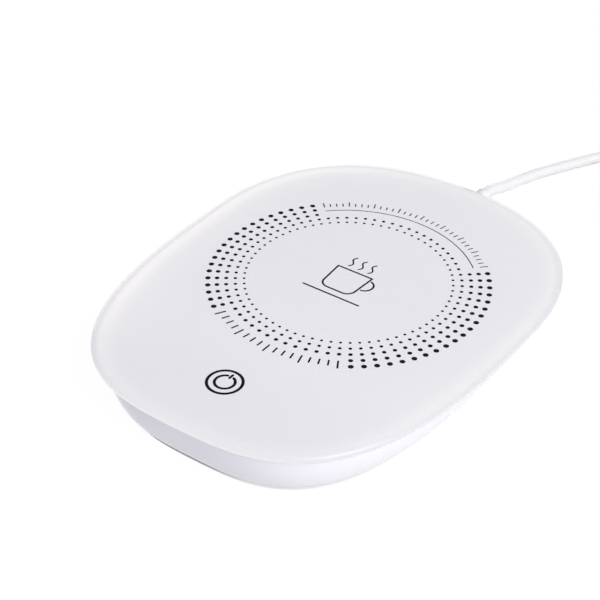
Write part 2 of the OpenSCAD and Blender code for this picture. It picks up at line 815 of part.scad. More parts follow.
module cord_tie() {
    wide = coil_wide * cord_d + 0.3;
    high = coil_high * cord_d;
    color([0.2, 0.2, 0.22])
        translate([coil_x, coil_y, 0]) rotate([0, 0, tie_from])
            rotate_extrude(angle = tie_arc, $fn = 96)
                translate([coil_r, high / 2 + tie_t]) difference() {
                    square([wide + 2 * tie_t, high + 2 * tie_t], center = true);
                    square([wide, high], center = true);
                }
}

// ---------------------------------------------------------------- plug, lying along -Y

module plug_body() {
    corner_r = 2.5;
    grip_y = plug_y - sleeve_l;
    ribs = 5;
    first_rib = 4;
    rib_pitch = 1.6;
    rib_w = 0.8;
    rib_h = 4;
    color([0.9, 0.9, 0.91])
        difference() {
            union() {
                translate([tail_x, grip_y, plug_z]) rotate([90, 0, 0])
                    linear_extrude(grip_l) union() {
                        square([grip_w - 2 * corner_r, grip_h], center = true);
                        square([grip_w, grip_h - 2 * corner_r], center = true);
                        for (x = [-1, 1], z = [-1, 1])
                            translate([x * (grip_w / 2 - corner_r), z * (grip_h / 2 - corner_r)])
                                circle(r = corner_r, $fn = 32);
                    }
                translate([tail_x, grip_y - lap, plug_z])
                    along_y(sleeve_l + lap, cord_d + 2.6, cord_d + 1);
            }
            for (x = [-1, 1], i = [0 : ribs - 1])
                translate([tail_x + x * grip_w / 2 - rib_w / 2, grip_y - first_rib - i * rib_pitch,
                    plug_z - rib_h / 2]) cube([rib_w, rib_w, rib_h]);
        }
}

module plug_shell() {
    sheet = 0.3;
    hole = 2;
    hole_back = 5;
    color([0.8, 0.81, 0.83])
        difference() {
            translate([tail_x - shell_w / 2, shell_front, plug_z - shell_h / 2])
                cube([shell_w, shell_l, shell_h]);
            translate([tail_x - shell_w / 2 + sheet, shell_front - 1, plug_z - shell_h / 2 + sheet])
                cube([shell_w - 2 * sheet, shell_l + 2, shell_h - 2 * sheet]);
            for (x = [-1, 1])
                translate([tail_x + x * shell_w / 4 - hole / 2, shell_front + hole_back,
                    plug_z + shell_h / 2 - 1]) cube([hole, hole, 2]);
        }
}

module plug_tongue() {
    set_back = 0.5;
    color([0.95, 0.95, 0.96])
        translate([tail_x - shell_w / 2 + tongue_gap, shell_front + set_back,
            plug_z - shell_h / 2 + tongue_gap])
            cube([shell_w - 2 * tongue_gap, shell_l - set_back, tongue_h]);
}

module plug_contacts() {
    contact_w = 1;
    contact_t = 0.2;
    contact_l = 7.5;
    set_back = 2;
    color([0.85, 0.68, 0.32])
        for (x = [-3.5, -1, 1, 3.5])
            translate([tail_x + x - contact_w / 2, shell_front + set_back,
                plug_z - shell_h / 2 + tongue_gap + tongue_h])
                cube([contact_w, contact_l, contact_t]);
}

glass_plate();
enamel_backing();
plate_seal();
upper_housing();
base_cover();
feet();
base_screws();
heating_film();
heat_spreader();
insulation_pad();
heater_tray();
tray_screws();
thermistor();
thermal_fuse();
circuit_board();
control_chip();
power_transistor();
smoothing_capacitor();
chip_resistors();
indicator_led();
board_screws();
touch_spring();
heater_leads();
sensor_leads();
supply_leads();
cord_tail();
cord_clamp();
clamp_screws();
strain_relief();
cord();
cord_coil();
cord_tie();
plug_body();
plug_shell();
plug_tongue();
plug_contacts();
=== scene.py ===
import math
import bpy
import numpy as np
from mathutils import Matrix, Vector


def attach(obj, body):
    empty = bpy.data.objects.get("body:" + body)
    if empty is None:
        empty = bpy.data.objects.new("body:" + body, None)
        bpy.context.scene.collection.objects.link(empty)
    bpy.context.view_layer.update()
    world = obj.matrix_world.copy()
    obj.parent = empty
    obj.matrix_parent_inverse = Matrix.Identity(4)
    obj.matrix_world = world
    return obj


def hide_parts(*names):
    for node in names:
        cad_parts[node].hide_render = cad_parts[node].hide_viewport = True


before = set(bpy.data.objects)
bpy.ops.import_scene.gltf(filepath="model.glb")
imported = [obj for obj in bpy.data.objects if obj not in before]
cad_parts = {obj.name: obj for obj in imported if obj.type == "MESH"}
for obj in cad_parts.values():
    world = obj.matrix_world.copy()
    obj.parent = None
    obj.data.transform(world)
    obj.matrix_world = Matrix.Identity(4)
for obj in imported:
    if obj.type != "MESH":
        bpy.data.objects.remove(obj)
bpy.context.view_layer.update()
MM = 0.001

# ---------------------------------------------------------------- camera
# A long lens on a stand at the warmer's front right, looking down at the glass.

EYE = Vector((187.45, -278.44, 256.94)) * MM
LOOK = Vector((-0.469872, 0.660927, -0.585146))
ROLL = math.radians(0.35)
LENS, FILM_W = 91.55, 36
NEAREST = 0.01

sight_right = LOOK.cross(Vector((0, 0, 1))).normalized()
sight_up = sight_right.cross(LOOK)
lens_right = math.cos(ROLL) * sight_right + math.sin(ROLL) * sight_up
lens_up = math.cos(ROLL) * sight_up - math.sin(ROLL) * sight_right
camera = bpy.data.objects.new("camera", bpy.data.cameras.new("camera"))
camera.data.lens = LENS
camera.data.sensor_width = FILM_W
camera.data.clip_start = NEAREST
camera.matrix_world = Matrix.Translation(EYE) @ Matrix((lens_right, lens_up, -LOOK)).transposed().to_4x4()
bpy.context.scene.collection.objects.link(camera)
bpy.context.scene.camera = camera

# ---------------------------------------------------------------- lead
# The 5 V lead: two fine conductors in a round, pale grey PVC jacket 3.6 mm across, about 1.1 m long.
# It drops from the back wall to the table, runs off to the right and is wound up for storage.

JACKET_D = 3.6
ROUTE = [
    (0, 67, 6.5), (0, 75, 6.5), (0, 79, 6.5), (0, 83, 6.5), (0.1, 87, 6.1),
    (0.4, 91, 5.1), (0.9, 95, 4.1), (1.3, 99, 3.3), (1.8, 103, 2.6), (2.7, 107, 2.1),
    (4, 111, 1.9), (5.8, 115, 1.8), (7.9, 119, 1.8), (10, 123, 1.8), (12.2, 127, 1.8),
    (14.5, 131, 1.8), (17, 135, 1.8), (20.2, 139, 1.8), (24.6, 143.5, 1.9), (30, 147.2, 2),
    (36.6, 149.9, 2.1), (44, 151.2, 2.2), (52, 151.5, 2.2), (59, 151.5, 2.2)]
PLUG_ROUTE = [
    (88.6, 121.9, 5.8), (88.6, 117, 5.7), (88.6, 112, 5.1), (88.6, 107, 4.4), (88.6, 103, 4), (88.6, 98, 4)]
ROUTE_PARTS = 4
COIL_AT = (59, 121.9)
COIL_OUTER, COIL_BESIDE = 25.9, 29.6
COIL_TURNS, LAYER_TURNS, TURN_POINTS = 7.25, 4, 48
COIL_LOW = 2.2
# shares of a turn: each crossing, the climb, where the first crossing starts, and the coil's two ends
CROSSING, CLIMB, FIRST_CROSSING, JOINING = 0.25, 0.22, 0.7, 0.2
GLOSS_DRIFT = 0.15


def eased(x):
    """Smooth step: 0 below 0, 1 above 1, and 3x^2 - 2x^3 between."""
    x = np.clip(x, 0, 1)
    return x * x * (3 - 2 * x)


def through_points(points, parts):
    """Catmull-Rom curve through the points, cut into so many parts between each two of them."""
    p = np.array(points, float)
    p = np.vstack([p[:1], p, p[-1:]])
    a, b, c, d = (p[i:len(p) - 3 + i, None, :] for i in range(4))
    s = (np.arange(parts) / parts)[None, :, None]
    curve = 0.5 * (2 * b + (c - a) * s + (2 * a - 5 * b + 4 * c - d) * s ** 2
                   + (3 * b - a - 3 * c + d) * s ** 3)
    return np.vstack([curve.reshape(-1, 3), p[-1:]])


def wound_turns():
    """Centreline of the coil, turning clockwise. In the low layer each turn crosses one diameter inwards
    at the same place, then the lead climbs to the high layer, where each turn crosses outwards."""
    turn = np.linspace(0, COIL_TURNS, int(COIL_TURNS * TURN_POINTS) + 1)
    radius = np.full(len(turn), float(COIL_OUTER))
    for k in range(LAYER_TURNS - 1):
        radius -= JACKET_D * eased((turn - k - FIRST_CROSSING) / CROSSING)
        radius += JACKET_D * eased((turn - k - LAYER_TURNS - FIRST_CROSSING + CLIMB + CROSSING) / CROSSING)
    beside = COIL_BESIDE - COIL_OUTER
    radius += beside * (1 - eased(turn / JOINING)) + beside * eased((turn - COIL_TURNS + JOINING) / JOINING)
    height = COIL_LOW + JACKET_D * eased((turn - (LAYER_TURNS - 1) - FIRST_CROSSING + CLIMB) / CLIMB)
    angle = math.pi / 2 - 2 * math.pi * turn
    return np.stack([COIL_AT[0] + radius * np.cos(angle), COIL_AT[1] + radius * np.sin(angle), height], 1)


def add(tree, kind, inputs, **settings):
    """Adds a shader node. settings are its own properties, and inputs gives each socket, by name or place,
    a value or the output that feeds it."""
    made = tree.nodes.new("ShaderNode" + kind)
    for key, value in settings.items():
        setattr(made, key, value)
    for key, value in inputs.items():
        if isinstance(value, bpy.types.NodeSocket):
            tree.links.new(value, made.inputs[key])
        else:
            made.inputs[key].default_value = value
    return made


def shades(tree, factor, stops):
    """Colour ramp with a stop at each (place, colour)."""
    ramp = add(tree, "ValToRGB", {"Fac": factor})
    elements = ramp.color_ramp.elements
    while len(elements) < len(stops):
        elements.new(1.0)
    for element, (place, colour) in zip(elements, stops):
        element.position = place
        element.color = (*(min(c, 1) for c in colour), 1)
    return ramp.outputs["Color"]


def tinted(colour, share):
    """The colour made lighter or darker by that share."""
    return tuple(c * (1 + share) for c in colour)


def object_place(tree, stretch=(1, 1, 1)):
    """Object coordinates, stretched along each axis."""
    place = add(tree, "TexCoord", {}).outputs["Object"]
    return add(tree, "Mapping", {"Vector": place, "Scale": stretch}).outputs["Vector"]


def noise(tree, waves, stretch=(1, 1, 1), detail=2.0):
    """Smooth noise over the piece, with so many waves per metre."""
    place = object_place(tree, stretch)
    return add(tree, "TexNoise", {"Vector": place, "Scale": waves, "Detail": detail}).outputs["Fac"]


def drifting(tree, cloud, low, high):
    """Colour that drifts from low to high with a noise, which mostly lies between 0.3 and 0.7."""
    return shades(tree, cloud, [(0.3, low), (0.7, high)])


def worked(tree, operation, *terms):
    """One step of arithmetic."""
    return add(tree, "Math", dict(enumerate(terms)), operation=operation).outputs["Value"]


def spread(tree, value, low, high, start=0.0, end=1.0, **kind):
    """Carries a value from the span between start and end to the span between low and high."""
    spans = {"Value": value, "From Min": start, "From Max": end, "To Min": low, "To Max": high}
    return add(tree, "MapRange", spans, **kind).outputs["Result"]


def blended(tree, share, first, second, **kind):
    """Mix of two colours: the first where the share is 0, and the second where it is 1."""
    return add(tree, "Mix", {"Factor": share, 6: first, 7: second}, data_type="RGBA", **kind).outputs[2]


def tuned(shader, **values):
    """Sets the shader's own sockets, each named with _ for a space."""
    for socket, value in values.items():
        shader.inputs[socket.replace("_", " ")].default_value = value


def skinned(name, roughness, metal=0.0):
    """New material with its node tree and its Principled shader."""
    made = bpy.data.materials.new(name)
    made.use_nodes = True
    skin = made.node_tree.nodes["Principled BSDF"]
    tuned(skin, Metallic=metal, Roughness=roughness)
    return made, made.node_tree, skin


def raised(tree, skin, height, strength, depth=0.5):
    """Bump from a height, where depth is in millimetres."""
    bump = add(tree, "Bump", {"Strength": strength, "Distance": depth * MM, "Height": height})
    tree.links.new(bump.outputs["Normal"], skin.inputs["Normal"])


def moulded(name, colour, roughness, cloud=(60, 0.03), grain=(900, 0.02), metal=0.0, stretch=(1, 1, 1)):
    """Finished plastic, rubber or metal: the colour drifts a little with a slow noise, and a fine noise
    raises the surface and changes its gloss. cloud and grain are (waves per metre, strength), and
    stretch draws the fine noise out for a brushed or drawn surface."""
    made, tree, skin = skinned(name, roughness, metal)
    slow, fine = noise(tree, cloud[0]), noise(tree, grain[0], stretch)
    drift = drifting(tree, slow, tinted(colour, -cloud[1]), tinted(colour, cloud[1]))
    gloss = spread(tree, fine, (1 - GLOSS_DRIFT) * roughness, (1 + GLOSS_DRIFT) * roughness)
    tree.links.new(drift, skin.inputs["Base Color"])
    tree.links.new(gloss, skin.inputs["Roughness"])
    raised(tree, skin, fine, grain[1])
    return made


def finished(piece, slot, material, *replaced):
    """Puts a new piece on the body with its material, in place of the parts named. The slot is not used."""
    piece.data.materials.append(material)
    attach(piece, "root")
    if replaced:
        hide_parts(*replaced)
    return piece


def dress(names, material):
    """Gives carried-over parts a finished material."""
    for name in names:
        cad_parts[name].material_slots[0].material = material


to_coil, to_plug = through_points(ROUTE, ROUTE_PARTS), through_points(PLUG_ROUTE, ROUTE_PARTS)
lead_line = np.vstack([to_coil[:-1], wound_turns(), to_plug[1:]]) * MM
lead_curve = bpy.data.curves.new("lead", "CURVE")
lead_curve.dimensions = "3D"
lead_curve.bevel_depth = JACKET_D / 2 * MM
lead_curve.bevel_resolution = 5
lead_curve.use_fill_caps = True
run = lead_curve.splines.new("POLY")
run.points.add(len(lead_line) - 1)
run.points.foreach_set("co", np.c_[lead_line, np.ones(len(lead_line))].ravel())
run.use_smooth = True
lead = bpy.data.objects.new("lead", lead_curve)
bpy.context.scene.collection.objects.link(lead)
jacket = moulded("jacket_pvc", (0.69, 0.69, 0.67), 0.5, cloud=(40, 0.02), grain=(1400, 0.03))
# Pale PVC lets light in and scatters it right through the jacket, and its satin skin has a soft sheen.
tuned(jacket.node_tree.nodes["Principled BSDF"], Subsurface_Weight=1.0, Subsurface_Radius=(1, 1, 1),
      Subsurface_Scale=4 * MM, Specular_IOR_Level=0.2, Sheen_Weight=0.9)
finished(lead, "jacket", jacket, "cord", "cord_coil")
dress(["cord_tail"], jacket)

# ---------------------------------------------------------------- strain relief
# Soft PVC sleeve moulded over the lead: a flange and a neck that sit in the wall's port, and outside it a
# taper with grooves down both sides, so that it bends in an even curve.

PORT_Y, PORT_Z, PORT_R, PORT_WALL = 65.4, 6.5, 2.85, 5
RELIEF_L, RELIEF_R, RELIEF_TIP_R, RELIEF_NECK_R = 18, 3.8, 2.2, 2.8
RELIEF_FLARE = 2.6
FLANGE_T = 1.5
GROOVES, GROOVE_W, GROOVE_PITCH, FIRST_GROOVE, GROOVE_R = 5, 1, 2.6, 3.4, 2.25
GROOVE_SIDE = 0.22
SPINE_W = 1.6
BORE_R = 1.82
RELIEF_ROUND, TIP_ROUND, BORE_ROUND, NECK_ROUND = 0.3, 0.45, 0.15, 0.2
TAPER_FROM, TAPER_SHORT, TAPER_STEP = 0.4, 0.6, 0.1


def grid_shell(grid, looped=False, flip=False):
    """Points and faces of a surface on a grid of rings. The rings close on themselves; looped joins the
    last ring to the first, and otherwise each end closes in a fan on its middle point."""
    m, n = grid.shape[:2]
    rows = np.arange(m if looped else m - 1)[:, None]
    cols = np.arange(n)[None, :]
    a, b = rows * n + cols, rows * n + (cols + 1) % n
    c, d = (rows + 1) % m * n + (cols + 1) % n, (rows + 1) % m * n + cols
    faces = np.stack(np.broadcast_arrays(a, b, c, d), -1).reshape(-1, 4).tolist()
    points = grid.reshape(-1, 3)
    if not looped:
        points = np.vstack([points, grid[0].mean(0), grid[-1].mean(0)])
        low = np.stack([(cols[0] + 1) % n, cols[0], np.full(n, m * n)], -1)
        high = np.stack([(m - 1) * n + cols[0], (m - 1) * n + (cols[0] + 1) % n, np.full(n, m * n + 1)], -1)
        faces += low.tolist() + high.tolist()
    if flip:
        faces = [f[::-1] for f in faces]
    return points, faces


def mesh_piece(name, shells, sharp=35):
    """One object from several closed shells given in millimetres. Edges that turn by more than the angle
    sharp stay crisp, and the rest is shaded smooth."""
    points, faces, start = [], [], 0
    for p, f in shells:
        points.append(p)
        faces += [[i + start for i in face] for face in f]
        start += len(p)
    mesh = bpy.data.meshes.new(name)
    mesh.from_pydata((np.vstack(points) * MM).tolist(), [], faces)
    mesh.update()
    mesh.shade_smooth()
    mesh.set_sharp_from_angle(angle=math.radians(sharp))
    made = bpy.data.objects.new(name, mesh)
    bpy.context.scene.collection.objects.link(made)
    return made


def turned(profile, centre, axis, sides=96):
    """Grid of a turned part: profile is (distance along the axis, radius), carried round it.
    The axis is +Z or +Y through the centre."""
    along, radius = np.array(profile, float).T
    a = np.arange(sides) / sides * 2 * math.pi
    u, v = radius[:, None] * np.cos(a), radius[:, None] * np.sin(a)
    w = np.broadcast_to(along[:, None], u.shape)
    return np.stack([u, v, w] if axis == "z" else [v, w, u], -1) + np.array(centre, float)


def rounded(corners, radius, steps=6):
    """Profile through the corners with each of them rounded by an arc of its radius."""
    out = []
    for i, (corner, r) in enumerate(zip(corners, radius)):
        p, q, s = (np.array(corners[j % len(corners)], float) for j in (i - 1, i, i + 1))
        if r == 0:
            out.append(q[None])
            continue
        to_p, to_s = (p - q) / np.linalg.norm(p - q), (s - q) / np.linalg.norm(s - q)
        half = math.acos(np.clip(to_p @ to_s, -1, 1)) / 2
        back = r / math.tan(half)
        middle = q + (to_p + to_s) / np.linalg.norm(to_p + to_s) * r / math.sin(half)
        start, end = q + to_p * back - middle, q + to_s * back - middle
        turn = math.acos(np.clip(start @ end / r ** 2, -1, 1))
        k = np.linspace(0, 1, steps)[:, None]
        out.append(middle + (np.sin((1 - k) * turn) * start + np.sin(k * turn) * end) / math.sin(turn))
    return np.vstack(out)


def grooved_sleeve():
    """Grid of the strain relief. Its radius follows the flange, the neck and the taper, which narrows with
    the power RELIEF_FLARE of the way to the tip. Within each groove it drops to the groove's floor, except
    beside the middle plane, where a spine runs through above and below."""
    tip = rounded([(0, RELIEF_R), (RELIEF_L, RELIEF_TIP_R), (RELIEF_L, BORE_R)],
                  (0, TIP_ROUND, BORE_ROUND))[1:]
    start = rounded([(-PORT_WALL - FLANGE_T, BORE_R), (-PORT_WALL - FLANGE_T, RELIEF_R),
                     (-PORT_WALL, RELIEF_R), (-PORT_WALL, RELIEF_NECK_R), (0, RELIEF_NECK_R), (0, RELIEF_R)],
                    (0, RELIEF_ROUND, NECK_ROUND, 0, 0, RELIEF_ROUND))
    run_y = np.arange(TAPER_FROM, RELIEF_L - TAPER_SHORT, TAPER_STEP)
    run_r = RELIEF_TIP_R + (RELIEF_R - RELIEF_TIP_R) * (1 - run_y / RELIEF_L) ** RELIEF_FLARE
    grid = turned(np.vstack([start, np.c_[run_y, run_r], tip]), (0, 0, 0), "y")
    y, outer = grid[..., 1], np.hypot(grid[..., 0], grid[..., 2])
    depth = np.zeros_like(y)
    for k in range(GROOVES):
        low = FIRST_GROOVE + k * GROOVE_PITCH
        depth += eased((y - low) / GROOVE_SIDE) * eased((low + GROOVE_W - y) / GROOVE_SIDE)
    depth *= eased((np.abs(grid[..., 0]) - SPINE_W / 2) / GROOVE_SIDE)
    shrink = 1 - depth * np.maximum(outer - GROOVE_R, 0) / outer
    return grid * np.stack([shrink, np.ones_like(y), shrink], -1) + (0, PORT_Y, PORT_Z)


sleeve = mesh_piece("strain_relief_sleeve", [grid_shell(grooved_sleeve(), looped=True)])
sleeve_pvc = moulded("sleeve_pvc", (0.74, 0.74, 0.72), 0.5, cloud=(60, 0.02), grain=(1400, 0.03))
finished(sleeve, "jacket", sleeve_pvc, "strain_relief")

# ---------------------------------------------------------------- tie around the coil
# Woven hook-and-loop strap, 7 mm wide. It goes once round the turns and its end is pressed down on itself.

TIE_T, TIE_FROM, TIE_ARC, TIE_R = 0.4, 190, 20, 20.5
TIE_INNER_W, TIE_INNER_H, TIE_CORNER = 14.7, 7.2, 1.8
TIE_STEPS, TIE_RINGS, SELVEDGE = 200, 9, 0.02
FLAP_T, FLAP_END, FLAP_STEP = 0.35, -3, 0.5
ONE_WAVE = 0.314


def rounded_box(width, height, corner, steps=12):
    """Outline of a rectangle with round corners, turned counter-clockwise from its right side."""
    a = np.radians(np.linspace(0, 90, steps))
    out = []
    for k, (x, y) in enumerate([(1, 1), (-1, 1), (-1, -1), (1, -1)]):
        turn = a + k * math.pi / 2
        centre = np.array([x * (width / 2 - corner), y * (height / 2 - corner)])
        out.append(centre + corner * np.stack([np.cos(turn), np.sin(turn)], 1))
    return np.vstack(out)


def evenly(outline, count):
    """So many points spaced evenly along a closed outline, and the outline's length."""
    closed = np.vstack([outline, outline[:1]])
    along = np.r_[0, np.cumsum(np.linalg.norm(np.diff(closed, axis=0), axis=1))]
    at = np.arange(count) / count * along[-1]
    return np.stack([np.interp(at, along, closed[:, i]) for i in (0, 1)], 1), along[-1]


def strap_uv(piece, across, length):
    """UV map in millimetres on a looped grid: V runs across the strap from ring to ring, U along its length.
    Each face's corners are counted on past the seam, so that the weave isn't smeared there."""
    m, n = across
    row, col = (v.ravel() for v in np.mgrid[0:m, 0:n])
    steps = np.array([(0, 0), (0, 1), (1, 1), (1, 0)])
    corner = np.stack([col, row], 1)[:, None, :] + steps[None, :, ::-1]
    uv = corner * np.array([length / n, TIE_R * math.radians(TIE_ARC) / (m / 2)])
    piece.data.uv_layers.new(name="weave").data.foreach_set("uv", uv.astype(np.float32).ravel())


def woven(name, colour, pitch):
    """Plain weave on the UV map: waves along it times waves across it make rounded humps a pitch apart, with
    the colour darker in the gaps. A wave of the texture is ONE_WAVE long at scale 1."""
    made, tree, skin = skinned(name, 0.85)
    tuned(skin, Sheen_Weight=0.3)
    uv = add(tree, "UVMap", {}, uv_map="weave").outputs["UV"]
    waves = [add(tree, "TexWave", {"Vector": uv, "Scale": ONE_WAVE / pitch, "Distortion": 0.4, "Detail": 1.0},
                 bands_direction=axis).outputs["Fac"] for axis in ("X", "Y")]
    height = worked(tree, "MULTIPLY", *waves)
    drift = add(tree, "TexNoise", {"Vector": uv, "Scale": 1.5}).outputs["Fac"]
    depth = worked(tree, "MULTIPLY", height, drift)
    threads = shades(tree, depth, [(0.0, tinted(colour, -0.6)), (0.5, tinted(colour, 0.5))])
    tree.links.new(threads, skin.inputs["Base Color"])
    raised(tree, skin, height, 0.6, 0.15)
    return made


tie_inner, tie_length = evenly(rounded_box(TIE_INNER_W, TIE_INNER_H, TIE_CORNER), TIE_STEPS)
outer_box = rounded_box(TIE_INNER_W + 2 * TIE_T, TIE_INNER_H + 2 * TIE_T, TIE_CORNER + TIE_T)
tie_outer, _ = evenly(outer_box, TIE_STEPS)
flap = (tie_outer[:, 1] > 0) & (tie_outer[:, 0] > FLAP_END)
flap_lift = FLAP_T * eased((tie_outer[:, 0] - FLAP_END) / FLAP_STEP) * flap
tie_flap = tie_outer + flap_lift[:, None] * np.array([0, 1])
tie_across = np.r_[0, np.linspace(SELVEDGE, 1 - SELVEDGE, TIE_RINGS), 1]
tie_arc = np.radians(TIE_FROM + TIE_ARC * np.r_[tie_across, tie_across[::-1]])
# The rings run across the strap's outer face, thin at its two edges, and back across its inner face.
tie_rings = []
for k, angle in enumerate(tie_arc):
    edge = k in (0, len(tie_arc) // 2 - 1)
    section = tie_inner if k >= len(tie_arc) // 2 else (tie_flap + 3 * tie_inner) / 4 if edge else tie_flap
    tie_rings.append(np.stack([COIL_AT[0] + (TIE_R + section[:, 0]) * math.cos(angle),
                               COIL_AT[1] + (TIE_R + section[:, 0]) * math.sin(angle),
                               section[:, 1] + TIE_INNER_H / 2 + TIE_T], 1))
tie_grid = np.stack(tie_rings[::-1])
tie = mesh_piece("hook_and_loop_tie", [grid_shell(tie_grid, looped=True)], sharp=60)
strap_uv(tie, tie_grid.shape[:2], tie_length)
finished(tie, "tie", woven("tie_weave", (0.05, 0.05, 0.06), 0.35), "cord_tie")

# ---------------------------------------------------------------- plug
# Flat 5 V plug: a satin PVC grip moulded over the lead's end, and a folded, nickel-plated steel shell round
# a white insulator with four gilt leaf contacts.

PLUG_X, PLUG_Z = 88.6, 4
SLEEVE_END, GRIP_START, GRIP_END = 98, 92, 72
GRIP_W, GRIP_H, GRIP_CORNER = 15.6, 8, 2.5
SLEEVE_R, SLEEVE_TIP_R = 3.1, 2.3
RIBS, FIRST_RIB, RIB_PITCH, RIB_W, RIB_DEPTH, RIB_H = 5, 4, 1.6, 0.8, 0.4, 4
RIB_SIDE, RIB_END, RIBS_BEYOND_X = 0.2, 0.3, 5
SHOULDER, SLEEVE_ROUND, SLEEVE_DROP = 1.2, 0.7, 0.3
GRIP_SIDES, GRIP_STEP = 160, 0.1


def grip_rings():
    """Grid of the grip, one ring at each place along it. The outline is a rounded box that comes in over a
    quarter circle at each end; the sleeve's circle swells towards it, and each rib is a dip in the two
    narrow sides."""
    box, _ = evenly(rounded_box(GRIP_W, GRIP_H, GRIP_CORNER), GRIP_SIDES)
    angle = np.arctan2(box[:, 1], box[:, 0])
    circle = np.stack([np.cos(angle), np.sin(angle)], 1)
    rings, places = [circle * BORE_R], [SLEEVE_END]
    for y in np.linspace(SLEEVE_END, GRIP_START, 10):
        tip = SLEEVE_DROP * eased((y - SLEEVE_END + SLEEVE_ROUND) / SLEEVE_ROUND)
        swell = (SLEEVE_R - SLEEVE_TIP_R) * (SLEEVE_END - y) / (SLEEVE_END - GRIP_START)
        rings.append(circle * (SLEEVE_TIP_R + swell - tip))
        places.append(y)
    quarter = np.radians(np.linspace(0, 90, 8))
    shoulder = [box * (1 - 2 * SHOULDER * (1 - math.sin(a)) / np.array([GRIP_W, GRIP_H])) for a in quarter]
    rings += shoulder
    places += [GRIP_START - SHOULDER * (1 - math.cos(a)) for a in quarter]
    side = eased((RIB_H / 2 - np.abs(box[:, 1])) / RIB_END + 0.5) * (np.abs(box[:, 0]) > RIBS_BEYOND_X)
    for y in np.arange(GRIP_START - SHOULDER - GRIP_STEP, GRIP_END + SHOULDER, -GRIP_STEP):
        down = (GRIP_START - y - FIRST_RIB + RIB_W) % RIB_PITCH
        within = GRIP_START - FIRST_RIB - (RIBS - 1) * RIB_PITCH < y < GRIP_START - FIRST_RIB + RIB_W
        dip = RIB_DEPTH * float(eased(down / RIB_SIDE) * eased((RIB_W - down) / RIB_SIDE)) * within
        rings.append(box - np.stack([np.sign(box[:, 0]) * dip * side, 0 * side], 1))
        places.append(y)
    rings += shoulder[::-1]
    places += [GRIP_END + SHOULDER * (1 - math.cos(a)) for a in quarter[::-1]]
    rings = np.stack(rings)
    along = np.broadcast_to(np.array(places)[:, None], rings.shape[:2])
    return np.stack([PLUG_X + rings[..., 0], along, PLUG_Z + rings[..., 1]], -1)


grip = mesh_piece("plug_grip", [grid_shell(grip_rings())])
grip_pvc = moulded("grip_pvc", (0.76, 0.76, 0.78), 0.5, cloud=(60, 0.02), grain=(1800, 0.08))
finished(grip, "plug", grip_pvc, "plug_body")
nickel = moulded("nickel_plate", (0.72, 0.72, 0.7), 0.22, (200, 0.04), (700, 0.04), 1.0, (1, 0.05, 1))
dress(["plug_shell"], nickel)
dress(["plug_tongue"], moulded("insulator_white", (0.85, 0.85, 0.84), 0.4, grain=(2000, 0.04)))
dress(["plug_contacts"], moulded("gilt_contact", (0.9, 0.62, 0.22), 0.2, (500, 0.05), (2500, 0.03), 1.0))

# ---------------------------------------------------------------- clamp inside
# A nylon bridge and two screws press the lead's end into a groove of the base cover.

dress(["cord_clamp"], moulded("clamp_nylon", (0.08, 0.08, 0.09), 0.5, cloud=(120, 0.06), grain=(2600, 0.1)))

# ---------------------------------------------------------------- base cover, its screws and its feet
# The cover is matte white ABS with a fine spark texture, held by four zinc-plated screws. Four silicone
# pads are glued in shallow pockets and hold the warmer 1.6 mm off the table.

FOOT_R, FOOT_TOP, FOOT_MIDDLE_R = 4.95, 2.7, 0.6
FOOT_HOLLOW, FOOT_GROOVE = 0.25, 0.35
FOOT_POINTS = [(-24, 39), (24, 39), (-27, -29), (27, -29)]

spark_abs = moulded("base_matte_abs", (0.86, 0.86, 0.88), 0.55, cloud=(40, 0.015), grain=(1800, 0.12))
dress(["base_cover"], spark_abs)
screw_zinc = moulded("zinc_plate", (0.72, 0.73, 0.75), 0.3, cloud=(300, 0.08), grain=(2500, 0.05), metal=1.0)
dress(["base_screws", "tray_screws", "board_screws", "clamp_screws"], screw_zinc)

# Each pad is slightly hollow underneath, and a V groove runs round it near its edge.
foot_profile = rounded(
    [(FOOT_HOLLOW, FOOT_MIDDLE_R), (0, FOOT_R - 1.6), (FOOT_GROOVE, FOOT_R - 1.2), (0, FOOT_R - 0.8),
     (0, FOOT_R), (FOOT_TOP, FOOT_R), (FOOT_TOP, FOOT_MIDDLE_R)], (0, 0.1, 0.1, 0.1, 0.45, 0.15, 0))
feet_shells = [grid_shell(turned(foot_profile, (x, y, 0), "z", 64)) for x, y in FOOT_POINTS]
silicone = moulded("silicone", (0.8, 0.8, 0.81), 0.5, cloud=(150, 0.03), grain=(2200, 0.06))
finished(mesh_piece("silicone_feet", feet_shells), "feet", silicone, "feet")

# ---------------------------------------------------------------- circuit board
# Green solder mask over glass-fibre laminate with copper tracks under it. On it stand the control chip, the
# transistor that switches the heater, a capacitor, chip resistors, the lamp and the touch spring.

CHIP_X, LEGS_BEYOND = -10.5, 2.02


def board_mask():
    """Solder mask: long bricks whose joints are the copper tracks, a little lighter and raised."""
    made, tree, skin = skinned("solder_mask", 0.3)
    bricks = add(tree, "TexBrick", {
        "Vector": object_place(tree), "Color1": (0.012, 0.14, 0.035, 1), "Color2": (0.01, 0.11, 0.03, 1),
        "Mortar": (0.05, 0.27, 0.09, 1), "Scale": 170.0, "Mortar Size": 0.045, "Mortar Smooth": 0.2})
    tree.links.new(bricks.outputs["Color"], skin.inputs["Base Color"])
    tree.links.new(spread(tree, noise(tree, 1500.0), 0.25, 0.4), skin.inputs["Roughness"])
    raised(tree, skin, bricks.outputs["Fac"], 0.5, 0.05)
    return made


